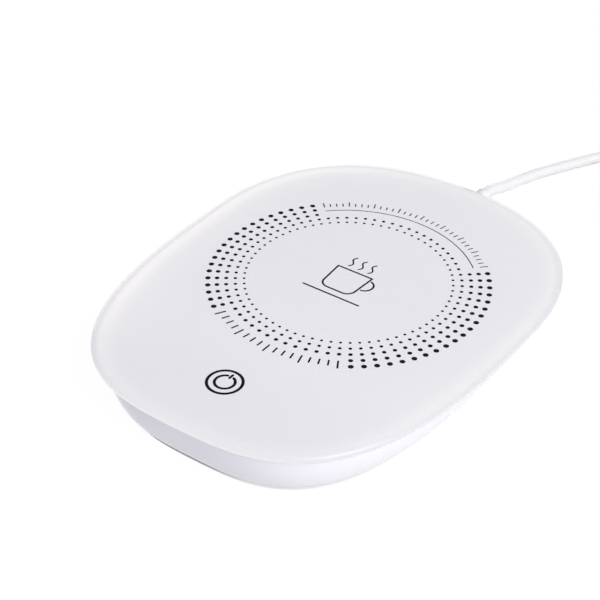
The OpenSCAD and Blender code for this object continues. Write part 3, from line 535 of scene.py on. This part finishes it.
def resin_and_legs():
    """Black moulded resin with a fine grain, and tinned metal where the legs stand out beside the body."""
    made, tree, skin = skinned("chip_resin", 0.45)
    x = add(tree, "SeparateXYZ", {"Vector": object_place(tree)}).outputs["X"]
    aside = worked(tree, "ABSOLUTE", worked(tree, "SUBTRACT", x, CHIP_X * MM))
    leg = worked(tree, "GREATER_THAN", aside, LEGS_BEYOND * MM)
    grain = noise(tree, 2500.0)
    resin = drifting(tree, grain, (0.008, 0.008, 0.009), (0.018, 0.018, 0.02))
    tree.links.new(blended(tree, leg, resin, (0.62, 0.62, 0.6, 1)), skin.inputs["Base Color"])
    tree.links.new(leg, skin.inputs["Metallic"])
    raised(tree, skin, grain, 0.15, 0.1)
    return made


dress(["circuit_board"], board_mask())
dress(["control_chip"], resin_and_legs())
dress(["power_transistor", "chip_resistors"],
      moulded("black_resin", (0.014, 0.014, 0.016), 0.45, cloud=(900, 0.3), grain=(2500, 0.1)))
dress(["smoothing_capacitor", "thermistor", "thermal_fuse"],
      moulded("drawn_can", (0.68, 0.69, 0.7), 0.28, (300, 0.05), (900, 0.05), 1.0, (1, 1, 0.05)))
dress(["indicator_led"], moulded("lamp_lens", (0.85, 0.8, 0.6), 0.12, cloud=(800, 0.06), grain=(1500, 0.02)))
dress(["touch_spring"], moulded("spring_plate", (0.75, 0.66, 0.45), 0.25, (600, 0.06), (2500, 0.05), 1.0))
dress(["heater_leads"], moulded("red_silicone", (0.5, 0.02, 0.015), 0.4, (200, 0.08), (2000, 0.05)))
dress(["sensor_leads"], moulded("white_silicone", (0.72, 0.72, 0.73), 0.4, (200, 0.04), (2000, 0.05)))
dress(["supply_leads"], moulded("black_pvc", (0.02, 0.02, 0.022), 0.4, (200, 0.2), (2000, 0.05)))

# ---------------------------------------------------------------- heater
# Under the glass: an etched foil track between amber polyimide films, an aluminium disc that spreads the
# heat, a felt pad against the base, and a pressed galvanised tray that holds the stack up.

HEAT_Y = 8.1
TRACK_PITCH, TRACK_W, TRACK_EDGE = 2.4, 1.5, 0.08


def etched_film():
    """Amber film whose track is a set of rings about the heater's middle: the distance from the middle is
    folded into a zigzag, and the track lies where the zigzag is low."""
    made, tree, skin = skinned("etched_film", 0.25)
    centred = add(tree, "VectorMath", {0: object_place(tree), 1: (0, HEAT_Y * MM, 0)}, operation="SUBTRACT")
    flat = add(tree, "VectorMath", {0: centred.outputs["Vector"], 1: (1, 1, 0)}, operation="MULTIPLY")
    far = add(tree, "VectorMath", {0: flat.outputs["Vector"]}, operation="LENGTH").outputs["Value"]
    fold = worked(tree, "PINGPONG", far, TRACK_PITCH / 2 * MM)
    track = spread(tree, fold, 1.0, 0.0, TRACK_W / 2 * MM, (TRACK_W / 2 + TRACK_EDGE) * MM)
    film = drifting(tree, noise(tree, 70.0), (0.42, 0.15, 0.015), (0.52, 0.2, 0.025))
    tree.links.new(blended(tree, track, film, (0.22, 0.12, 0.06, 1)), skin.inputs["Base Color"])
    raised(tree, skin, track, 0.5, 0.05)
    return made


def felted():
    """Needled felt: two fine noises, one drawn out into fibres, give its nap and its flecks."""
    made, tree, skin = skinned("needled_felt", 0.95)
    tuned(skin, Sheen_Weight=0.4)
    nap, fibre = noise(tree, 900.0, detail=6.0), noise(tree, 700.0, (1, 0.15, 1))
    both = worked(tree, "MULTIPLY", nap, fibre)
    flecks = shades(tree, both, [(0.1, (0.5, 0.45, 0.34)), (0.4, (0.78, 0.73, 0.6))])
    tree.links.new(flecks, skin.inputs["Base Color"])
    raised(tree, skin, both, 0.9, 0.4)
    return made


def galvanised():
    """Hot-dipped zinc: crystals of a random grey each, from a cell pattern."""
    made, tree, skin = skinned("galvanised", 0.4, 1.0)
    cells = add(tree, "TexVoronoi", {"Vector": object_place(tree), "Scale": 220.0}).outputs["Color"]
    grey = add(tree, "SeparateXYZ", {"Vector": cells}).outputs["X"]
    crystals = shades(tree, grey, [(0.0, (0.52, 0.53, 0.55)), (1.0, (0.68, 0.69, 0.71))])
    tree.links.new(crystals, skin.inputs["Base Color"])
    tree.links.new(spread(tree, grey, 0.3, 0.5), skin.inputs["Roughness"])
    return made


def foamed():
    """Closed-cell foam: small cells, dark in the middle, with lighter walls that stand up."""
    made, tree, skin = skinned("foam_tape", 0.9)
    cells = add(tree, "TexVoronoi", {"Vector": object_place(tree), "Scale": 1600.0}).outputs["Distance"]
    pores = shades(tree, cells, [(0.1, (0.03, 0.03, 0.034)), (0.6, (0.07, 0.07, 0.076))])
    tree.links.new(pores, skin.inputs["Base Color"])
    raised(tree, skin, cells, 0.7, 0.2)
    return made


dress(["heating_film"], etched_film())
rolled = moulded("rolled_aluminium", (0.78, 0.79, 0.8), 0.3, (80, 0.03), (900, 0.06), 1.0, (0.04, 1, 1))
dress(["heat_spreader"], rolled)
dress(["insulation_pad"], felted())
dress(["heater_tray"], galvanised())
dress(["plate_seal"], foamed())

# ---------------------------------------------------------------- housing
# One-piece shell of glossy white ABS, injection moulded. Its convex wall draws in towards the base, a solid
# rim carries the glass, and a lip at the bottom takes the base cover.

PLATE_W, PLATE_FRONT, PLATE_BACK = 105, 84, 52
FRONT_SQUARE, BACK_SQUARE = 2.9, 2.35
# how much squarer the wall's foot is than its rim in front
BASE_SQUARER = 0.2
WIDEST_Y = (PLATE_FRONT - PLATE_BACK) / 2
AROUND, WALL_RINGS = 360, 28
BASE_Z, RIM_Z = 1.6, 15.1
WALL_IN, BASE_IN_W, BASE_IN_L, WALL_T = 2.6, 9, 7.5, 2
WALL_ROUND, RIM_ROUND = 1.4, 0.25
EDGE_FLAT, EDGE_LIFT = 0.5, 0.15
RIM_W, LIP_W, LIP_Z = 8, 2.5, 4.1
DECK_T, DECK_LAP, DECK_LOWER = 1.8, 1, 0.2
OPENING_R = 39
COLLAR_R = 4.8


def plan_angles():
    """Angles of the plan's points, chosen so that they lie evenly along the glass edge."""
    t = np.linspace(0, 2 * math.pi, 7201)
    edge = plan_points(t, 0, 0)
    along = np.r_[0, np.cumsum(np.linalg.norm(np.diff(edge, axis=0), axis=1))]
    return np.interp(np.arange(AROUND) / AROUND * along[-1], along, t)


def plan_points(t, inset_w, inset_l, front_in=0, squarer=0):
    """Plan of the warmer at the angles t: a superellipse of one squareness in front of the widest line
    and another behind it, with the sides drawn in by inset_w and the ends by inset_l. The front end is
    flattened by front_in more, which fades towards the sides with the fourth power of the sine, and
    squarer is added to its squareness."""
    c, s = np.cos(t), np.sin(t)
    square = np.where(s < 0, FRONT_SQUARE + squarer, BACK_SQUARE)
    length = np.where(s < 0, PLATE_FRONT - front_in * s ** 4, PLATE_BACK) - inset_l
    x = (PLATE_W / 2 - inset_w) * np.sign(c) * np.abs(c) ** (2 / square)
    return np.stack([x, WIDEST_Y + length * np.sign(s) * np.abs(s) ** (2 / square)], -1)


def plan_rings(insets_w, insets_l, heights, front_in=0, squarer=0):
    """Grid of points: one ring of the plan for each pair of insets, at its height."""
    t = plan_angles()[None, :]
    w, l, z = (np.array(v, float)[:, None] for v in (insets_w, insets_l, heights))
    plan = plan_points(t, w, l, front_in, np.reshape(squarer, (-1, 1)))
    return np.concatenate([plan, np.broadcast_to(z, (len(z), AROUND))[..., None]], -1)


wall_s = np.linspace(1, 0, WALL_RINGS)
drawn_in = 1 - (1 - wall_s ** WALL_ROUND) ** (1 / WALL_ROUND)
rim_in = WALL_IN + RIM_W
# The inner face follows every third ring of the outer one, from near the rim down to near the foot.
inner = slice(-2, 5, -3)


def wall_insets(base_in):
    """Insets of the wall's rings, where its foot is drawn in by base_in: the flat underneath, up the outer
    face, over the rim, and down the inner face to the lip."""
    outer = WALL_IN + (base_in - WALL_IN) * drawn_in
    return np.r_[base_in + EDGE_FLAT, outer, WALL_IN + RIM_ROUND, rim_in, rim_in, outer[inner] + WALL_T,
                 base_in + LIP_W, base_in + LIP_W]


profile_w, profile_l = wall_insets(BASE_IN_W), wall_insets(BASE_IN_L)
wall_z = RIM_Z - wall_s * (RIM_Z - BASE_Z)
# The foot's edge is lifted and the rim's edge is lowered, and both fade over the nearest rings.
outer_z = wall_z + EDGE_LIFT * wall_s ** 12 - RIM_ROUND * (1 - wall_s) ** 16
inner_z = np.minimum(wall_z[inner], RIM_Z - DECK_T)
profile_z = np.r_[BASE_Z, outer_z, RIM_Z, RIM_Z, RIM_Z - DECK_T, inner_z, LIP_Z, BASE_Z]
profile_square = np.zeros(len(profile_w))
profile_square[:len(wall_s) + 1] = BASE_SQUARER * np.r_[1, drawn_in]
wall_shell = grid_shell(plan_rings(profile_w, profile_l, profile_z, 0, profile_square), looped=True)

deck_in = rim_in - DECK_LAP
deck_edge = plan_rings([deck_in], [deck_in], [RIM_Z - DECK_LOWER])[0]
toward = np.arctan2(deck_edge[:, 1] - HEAT_Y, deck_edge[:, 0])
round_edge = np.stack([OPENING_R * np.cos(toward), HEAT_Y + OPENING_R * np.sin(toward), deck_edge[:, 2]], -1)
drop = np.array([0, 0, DECK_T])
deck_shell = grid_shell(np.stack([deck_edge - drop, deck_edge, round_edge, round_edge - drop]), looped=True)

collar_profile = rounded([(-PORT_WALL, PORT_R), (-PORT_WALL, COLLAR_R), (0, COLLAR_R), (0, PORT_R)],
                         (0, 0, 0.5, 0.25))
collar_shell = grid_shell(turned(collar_profile, (0, PORT_Y, PORT_Z), "y"), looped=True)
housing = mesh_piece("housing", [wall_shell, deck_shell, collar_shell])
white_gloss = moulded("housing_gloss_abs", (0.835, 0.83, 0.845), 0.16, cloud=(25, 0.008), grain=(350, 0.012))
finished(housing, "housing", white_gloss, "upper_housing")

# ---------------------------------------------------------------- enamel under the glass
# The glass is screen printed on its underside with milk-white ceramic enamel and fired, so the coat lies
# inside the glass surface. It stops just short of the glass edge. Its border has painted light, a creamier
# band where light comes in through the rim, and painted shade, a greyer edge that is darkest in front.

ENAMEL_Z, GLASS_Z = 15.4, 15.5
ENAMEL_TOP = GLASS_Z + 0.03
ENAMEL_IN = 0.95
ENAMEL_STEPS = [ENAMEL_IN, 1.5, 2, 2.4, 2.8, 3.2, 3.6, 4, 4.5, 5, 6, 7, 8, 10, 12, 16, 22, 30, 40]
# how far the glass and its coat stop short of the plan in the middle of the front
GLASS_SHORT = 0.7
# MILK is the enamel's own colour; CREAM is the colour of the painted rim light.
MILK, CREAM = (0.833, 0.832, 0.812, 1), (0.99, 0.98, 0.92, 1)
# stops of each ramp: (distance from the glass edge, strength), all within the width BAND
BAND = 24
# Painted light: how strong the creamy band is, which stands in for light coming in through the rim.
RIM_LIGHT_STOPS = ((1.2, 0), (2.4, 1), (3.6, 1), (5, 0.6), (7, 0.3), (13, 0.12), (23, 0))
# Painted shade: how much the coat greys at its edge, in front and behind; in front it stays a little darker
# all the way in.
EDGE_SHADE_IN_FRONT = ((1, 0.86), (1.4, 0.91), (2.1, 0.99), (6, 0.965))
EDGE_SHADE_BEHIND = ((1, 0.93), (1.7, 0.95), (2.4, 1))
# Where the painted light and shade change, in millimetres of X and Y: the rim light weakens towards the right
# and the front, and the edge shade passes from its front stops to its back ones.
CREAM_RIGHT, CREAM_FROM, CREAM_TO = 0.35, -5, -40
CREAM_FRONT, FRONT_FROM, FRONT_TO = 0.1, -32, -62
EDGE_SHADE_FRONT_Y, EDGE_SHADE_BACK_Y = -55, -30


def mark_inset(piece, insets):
    """Stores each ring's distance from the glass edge, in millimetres, on its points. The two end points of
    the fans take the value of the ring beside them."""
    values = np.r_[np.repeat(insets, AROUND), insets[0], insets[-1]]
    piece.data.attributes.new("inset", "FLOAT", "POINT").data.foreach_set("value", values.astype(np.float32))


def banded_enamel():
    """Milk-white enamel. Its border follows the inset from the glass edge: painted shade makes it greyer at
    the very edge, most of all in front, where the whole coat is a little darker too, and painted light makes
    a creamy band that fades inwards, strongest on the left and faint in front."""
    made, tree, skin = skinned("milk_enamel", 0.5)
    inset = add(tree, "Attribute", {}, attribute_name="inset").outputs["Fac"]
    share = worked(tree, "MULTIPLY", inset, 1 / BAND)
    rim_light, in_front, behind = (shades(tree, share, [(at / BAND, (s, s, s)) for at, s in stops])
                               for stops in (RIM_LIGHT_STOPS, EDGE_SHADE_IN_FRONT, EDGE_SHADE_BEHIND))
    place = add(tree, "SeparateXYZ", {"Vector": object_place(tree)})
    leftwards = spread(tree, place.outputs["X"], 1.0, CREAM_RIGHT, CREAM_TO * MM, CREAM_FROM * MM)
    in_back = spread(tree, place.outputs["Y"], CREAM_FRONT, 1.0, FRONT_TO * MM, FRONT_FROM * MM)
    # Painted light: the creamy band, strongest on the left and faint in front.
    strength = worked(tree, "MULTIPLY", worked(tree, "MULTIPLY", rim_light, leftwards), in_back)
    creamy = blended(tree, strength, MILK, CREAM)
    # Painted shade: greyer at the coat's edge, and in front a little darker all over.
    backwards = spread(tree, place.outputs["Y"], 0.0, 1.0, EDGE_SHADE_FRONT_Y * MM, EDGE_SHADE_BACK_Y * MM)
    edge_shade = blended(tree, backwards, in_front, behind)
    band = blended(tree, 1.0, creamy, edge_shade, blend_type="MULTIPLY")
    drift = drifting(tree, noise(tree, 18.0), (0.988, 0.988, 0.99), (1, 1, 1))
    coat = blended(tree, 1.0, band, drift, blend_type="MULTIPLY")
    tree.links.new(coat, skin.inputs["Base Color"])
    tree.links.new(spread(tree, noise(tree, 1200.0), 0.45, 0.55), skin.inputs["Roughness"])
    return made


enamel_in = [ENAMEL_IN] + ENAMEL_STEPS
enamel_up = [ENAMEL_Z] + [ENAMEL_TOP] * len(ENAMEL_STEPS)
enamel = mesh_piece("enamel_coat", [grid_shell(plan_rings(enamel_in, enamel_in, enamel_up, GLASS_SHORT))])
mark_inset(enamel, enamel_in)
finished(enamel, "enamel", banded_enamel(), "enamel_backing")

# ---------------------------------------------------------------- printed marks
# Dark blue-black ceramic ink, printed on the glass before the white coat, so it lies just above it: rings of
# dots that show the warm zone, a touch mark at the front, plain scale strokes and a cup.

INK_LOW, INK_TOP = 15.52, 15.55
DOT_STEP = 5
# radius of each ring of dots, diameter of its dots, and the half angles left free at the back and in front
DOT_RINGS = [
    (28.6, 0.8, 0, 0), (31.0, 0.98, 0, 0), (33.5, 1.17, 48, 0), (36.0, 1.31, 48, 33), (38.5, 1.54, 48, 33)]


def flat_shape(outline):
    """Thin plate of ink with that outline, turned counter-clockwise."""
    outline = np.array(outline, float)
    low = np.c_[outline, np.full(len(outline), INK_LOW)]
    n = len(outline)
    k = np.arange(n)
    sides = np.stack([k, (k + 1) % n, (k + 1) % n + n, k + n], -1).tolist()
    return np.vstack([low, low + [0, 0, INK_TOP - INK_LOW]]), sides + [k[::-1].tolist(), (k + n).tolist()]


def dot(x, y, diameter, sides=20):
    """Round dot of ink."""
    a = np.arange(sides) / sides * 2 * math.pi
    return flat_shape(np.c_[x + diameter / 2 * np.cos(a), y + diameter / 2 * np.sin(a)])


def stroke(line, width, closed=False):
    """Line of ink of that width along the points, with round ends, or closed on itself."""
    p = np.array(line, float)
    ahead = np.roll(p, -1, 0) - np.roll(p, 1, 0) if closed else np.gradient(p, axis=0)
    side = np.c_[-ahead[:, 1], ahead[:, 0]] / np.linalg.norm(ahead, axis=1)[:, None] * width / 2
    if closed:
        n = len(p)
        right, left = p - side, p + side
        rings = [np.c_[r, np.full(n, z)] for r, z in
                 ((left, INK_LOW), (left, INK_TOP), (right, INK_TOP), (right, INK_LOW))]
        return grid_shell(np.stack(rings), looped=True, flip=True)
    a = np.linspace(-math.pi / 2, math.pi / 2, 9)[:, None]
    end = p[-1] + np.cos(a) * np.array([side[-1, 1], -side[-1, 0]]) + np.sin(a) * side[-1]
    start = p[0] + np.cos(a) * np.array([-side[0, 1], side[0, 0]]) - np.sin(a) * side[0]
    return flat_shape(np.vstack([p - side, end[1:-1], (p + side)[::-1], start[1:-1]]))


def arc(centre, radius, start, end, steps=48):
    """Points along an arc, with angles in degrees from +X."""
    a = np.radians(np.linspace(start, end, steps))
    return np.c_[centre[0] + radius * np.cos(a), centre[1] + radius * np.sin(a)]


def from_axis(angle, axis):
    """How far an angle lies from an axis, in degrees."""
    return abs((angle - axis + 180) % 360 - 180)


def spoke(angle, low, high, width):
    """Short stroke that points at the middle of the dot rings, from one radius to another."""
    a = math.radians(angle)
    ends = [(r * math.cos(a), HEAT_Y + r * math.sin(a)) for r in (low, (low + high) / 2, high)]
    return stroke(ends, width)


ring_shells = []
for ring_r, dot_d, free_back, free_front in DOT_RINGS:
    for angle in range(0, 360, DOT_STEP):
        if from_axis(angle, 90) > free_back - 0.1 and from_axis(angle, 270) > free_front - 0.1:
            a = math.radians(angle)
            ring_shells.append(dot(ring_r * math.cos(a), HEAT_Y + ring_r * math.sin(a), dot_d))
ink = moulded("navy_ink", (0.005, 0.004, 0.013), 0.45, cloud=(400, 0.1), grain=(1500, 0.01))
tuned(ink.node_tree.nodes["Principled BSDF"], Specular_IOR_Level=0.0)
finished(mesh_piece("dot_rings", ring_shells), "ink", ink)

# The touch mark: the common power sign in a ring.
KEY_Y, KEY_GAP = -47, 21
KEY_RING_R, KEY_RING_W, KEY_SIGN_R, KEY_SIGN_W = 4.6, 0.82, 2.63, 0.78
KEY_BAR, KEY_BAR_W = (1.9, 2.6, 3.3), 0.7
key_at = (0, KEY_Y)
key_shells = [
    stroke(arc(key_at, KEY_RING_R, 0, 355, 72), KEY_RING_W, closed=True),
    stroke(arc(key_at, KEY_SIGN_R, 90 + KEY_GAP, 450 - KEY_GAP, 60), KEY_SIGN_W),
    stroke([(0, KEY_Y + r) for r in KEY_BAR], KEY_BAR_W)]
finished(mesh_piece("touch_mark", key_shells), "ink", ink)

# The scales: upright strokes in front, and at the back finer strokes over a thin line. Each is given by its
# first and last angle and step, the strokes' inner end, a long and a short outer end, and their width.
FRONT_SCALE = (-120, -59, 3.75, 36.4, 39.2, 38.3, 0.5)
BACK_SCALE = (45, 135.1, 2.8125, 37.2, 39.2, 38.5, 0.34)
BACK_LINE_R, BACK_LINE_W = 35.1, 0.3


def scale_strokes(first, last, step, low, long_to, short_to, width):
    """Fan of strokes, every fourth one longer."""
    angles = np.arange(first, last, step)
    return [spoke(a, low, short_to if k % 4 else long_to, width) for k, a in enumerate(angles)]


scale_shells = scale_strokes(*FRONT_SCALE) + scale_strokes(*BACK_SCALE)
scale_shells.append(stroke(arc((0, HEAT_Y), BACK_LINE_R, 45, 135, 60), BACK_LINE_W))
finished(mesh_piece("scale_marks", scale_shells), "ink", ink)

# The cup: a plain mug with its handle, the line that it stands on and three wisps of steam.
CUP_W, STEAM_W = 0.55, 0.45
STEAM_X, STEAM_SWAY, STEAM_LOW, STEAM_RISE = (-3.6, -0.4, 2.8), 0.6, 13.6, 4.4
cup_bowl = np.vstack([[(-6, 12), (-5.6, 6)], arc((-2.9, 4.4), 2.6, 180, 265, 8),
                      arc((2.1, 4.4), 2.6, 275, 360, 8), [(4.8, 6), (5.2, 12)]])
cup_brim, cup_handle = [(-6, 12), (-0.4, 12), (5.2, 12)], arc((5.2, 8.2), 2.5, 75, -80, 24)
cup_ground = [(-9, -0.6), (0, -0.6), (9, -0.6)]
cup_shells = [stroke(line, CUP_W) for line in (cup_bowl, cup_brim, cup_handle, cup_ground)]
rise = np.linspace(0, 1, 16)
for x in STEAM_X:
    wisp = np.c_[x + STEAM_SWAY * np.sin(2 * math.pi * rise), STEAM_LOW + STEAM_RISE * rise]
    cup_shells.append(stroke(wisp, STEAM_W))
finished(mesh_piece("cup_mark", cup_shells), "ink", ink)

# ---------------------------------------------------------------- glass top
# Toughened clear glass 3 mm thick, with a soft crown ground around the rim. The flat is polished and the
# outermost rim is left satin. It sits on a foam ring.

GLASS_T, CROWN_W, CROWN_H, CROWN_POWER, UNDER_W = 3, 5, 1.7, 2.2, 0.9
SATIN_TO, POLISHED_FROM = 1.1, 4.5
SATIN, POLISHED, HAZE = 0.33, 0.0, 0.02

under_a = np.radians(np.linspace(0, 90, 9))[:-1]
crown_a = np.radians(np.linspace(0, 90, 25))
crown_inset = CROWN_W * (1 - np.cos(crown_a) ** (2 / CROWN_POWER))
crown_rise = CROWN_H * np.sin(crown_a) ** (2 / CROWN_POWER)
edge_h = GLASS_T - CROWN_H
glass_in = np.r_[UNDER_W * (1 - np.sin(under_a)), crown_inset]
glass_up = np.r_[edge_h * (1 - np.cos(under_a)), edge_h + crown_rise]
flat_in = np.linspace(CROWN_W, PLATE_W / 2 - 1, 12)[1:]
all_in = np.r_[glass_in, flat_in]
glass_z = GLASS_Z + np.r_[glass_up, np.full(len(flat_in), GLASS_T)]
glass_rings = plan_rings(all_in, all_in, glass_z, GLASS_SHORT)
glass = mesh_piece("glass_top", [grid_shell(glass_rings)], sharp=50)
mark_inset(glass, all_in)


def clear_glass():
    """Glass that transmits, and that lamp and diffuse rays pass clear, so that the enamel under it is lit as
    through a real pane. Its roughness falls from the satin rim to the polished flat."""
    made, tree, pane = skinned("clear_glass", 0.0)
    tuned(pane, Base_Color=(0.985, 0.99, 0.995, 1), Transmission_Weight=1.0, IOR=1.5)
    inset = add(tree, "Attribute", {}, attribute_name="inset").outputs["Fac"]
    rim = spread(tree, inset, SATIN, POLISHED, SATIN_TO, POLISHED_FROM, interpolation_type="SMOOTHSTEP")
    haze = worked(tree, "MULTIPLY_ADD", noise(tree, 120.0), HAZE, rim)
    tree.links.new(haze, pane.inputs["Roughness"])
    path = add(tree, "LightPath", {}).outputs
    lit = worked(tree, "MAXIMUM", path["Is Shadow Ray"], path["Is Diffuse Ray"])
    clear = add(tree, "BsdfTransparent", {})
    mix = add(tree, "MixShader", {0: lit, 1: pane.outputs["BSDF"], 2: clear.outputs["BSDF"]})
    tree.links.new(mix.outputs["Shader"], tree.nodes["Material Output"].inputs["Surface"])
    return made


finished(glass, "glass", clear_glass(), "glass_plate")

# ---------------------------------------------------------------- table, studio light and background
# A pale table and an even white studio, with a large soft lamp to the right. The studio's walls are white
# up to the top of the paper roll and darker above it, which is what polished surfaces mirror.

TABLE_R = 4000
TABLE_COLOUR, SHADE_COLOUR, PAPER_GLOW = (0.58, 0.58, 0.61, 1), (0.8, 0.8, 0.8, 1), 1.03
UNDER_SHARE, LIT_UNDER_SHARE, OPEN_SHARE = 0.0, 0.5, 0.93
UNDER_LEFT, UNDER_RIGHT = 2, 16
UNDER_IN, UNDER_TO, OPEN_FROM = 0.9, 1.0, 1.004
AIR, WHITE, DARK_WALL = (0.528, 0.522, 0.612, 1), (1, 1, 1), (0.15, 0.15, 0.15)
WHITE_TO, DARK_FROM = 0.3, 0.5


def seen_direct(tree):
    """1 for rays from the camera, mirrored rays and rays through glass, and 0 for the light itself."""
    path = add(tree, "LightPath", {}).outputs
    plain_or_mirrored = worked(tree, "MAXIMUM", path["Is Camera Ray"], path["Is Glossy Ray"])
    return worked(tree, "MAXIMUM", plain_or_mirrored, path["Is Transmission Ray"])


floor = mesh_piece("table", [flat_shape(arc((0, 0), TABLE_R, 0, 357, 120))])
floor.data.transform(Matrix.Translation((0, 0, -INK_TOP * MM)))
table, paper, matt = skinned("pale_table", 0.9)
tuned(matt, Base_Color=TABLE_COLOUR, Specular_IOR_Level=0.0)
# The paper shows as white, and the shadow on it deepens under the base, where the share of glow is low.
# The mask for it is the superellipse of the wall's foot, drawn in a little: reach is 1 on it and less inside.
spot = add(paper, "SeparateXYZ", {"Vector": object_place(paper, (1 / MM, 1 / MM, 1))})
under_l, under_w = BASE_IN_L + UNDER_IN, BASE_IN_W + UNDER_IN
back_of = worked(paper, "SUBTRACT", spot.outputs["Y"], WIDEST_Y)
backwards = worked(paper, "DIVIDE", back_of, PLATE_BACK - under_l)
forwards = worked(paper, "DIVIDE", back_of, under_l - PLATE_FRONT)
ends = worked(paper, "MAXIMUM", backwards, forwards)
sides = worked(paper, "DIVIDE", worked(paper, "ABSOLUTE", spot.outputs["X"]), PLATE_W / 2 - under_w)
base_square = FRONT_SQUARE + BASE_SQUARER
behind_it = worked(paper, "GREATER_THAN", back_of, 0.0)
less_square = worked(paper, "MULTIPLY", behind_it, base_square - BACK_SQUARE)
square = worked(paper, "SUBTRACT", base_square, less_square)
powers = worked(paper, "ADD", worked(paper, "POWER", ends, square), worked(paper, "POWER", sides, square))
reach = worked(paper, "POWER", powers, worked(paper, "DIVIDE", 1.0, square))
# Under the base the glow share rises from the left to the right: painted light in the gap on the lamp's side,
# over the real shadow from the diffuse shade.
under = spread(paper, spot.outputs["X"], UNDER_SHARE, LIT_UNDER_SHARE, UNDER_LEFT, UNDER_RIGHT)
glow_share = spread(paper, reach, under, OPEN_SHARE, UNDER_TO, OPEN_FROM)
shade = add(paper, "BsdfDiffuse", {"Color": SHADE_COLOUR})
glow = add(paper, "Emission", {"Strength": PAPER_GLOW})
seen = add(paper, "MixShader", {0: glow_share, 1: shade.outputs["BSDF"], 2: glow.outputs["Emission"]})
choice = add(paper, "MixShader", {0: seen_direct(paper), 1: matt.outputs["BSDF"], 2: seen.outputs["Shader"]})
paper.links.new(choice.outputs["Shader"], paper.nodes["Material Output"].inputs["Surface"])
floor.data.materials.append(table)


def softbox(name, direction, distance, width, power, colour):
    """Large square lamp that faces the warmer."""
    lamp = bpy.data.lights.new(name, "AREA")
    lamp.size = width
    lamp.energy = power
    lamp.color = colour
    holder = bpy.data.objects.new(name, lamp)
    towards = Vector(direction).normalized()
    holder.location = towards * distance
    holder.rotation_euler = towards.to_track_quat("Z", "Y").to_euler()
    bpy.context.scene.collection.objects.link(holder)


softbox("right_softbox", (1.0, -0.36, 0.76), distance=4, width=2.9, power=162, colour=(1.0, 0.985, 0.955))

world = bpy.data.worlds.new("studio")
bpy.context.scene.world = world
world.use_nodes = True
room = world.node_tree
air = room.nodes["Background"]
tuned(air, Color=AIR)
up = add(room, "SeparateXYZ", {"Vector": add(room, "TexCoord", {}).outputs["Generated"]}).outputs["Z"]
walls = shades(room, up, [(0.0, WHITE), (WHITE_TO, WHITE), (DARK_FROM, DARK_WALL), (1.0, DARK_WALL)])
mirrored = add(room, "LightPath", {}).outputs["Is Glossy Ray"]
backdrop = add(room, "Background", {"Color": blended(room, mirrored, (*WHITE, 1), walls)})
both = add(room, "MixShader", {0: seen_direct(room), 1: air.outputs["Background"],
                               2: backdrop.outputs["Background"]})
room.links.new(both.outputs["Shader"], room.nodes["World Output"].inputs["Surface"])
bpy.context.scene.view_settings.view_transform = "Standard"
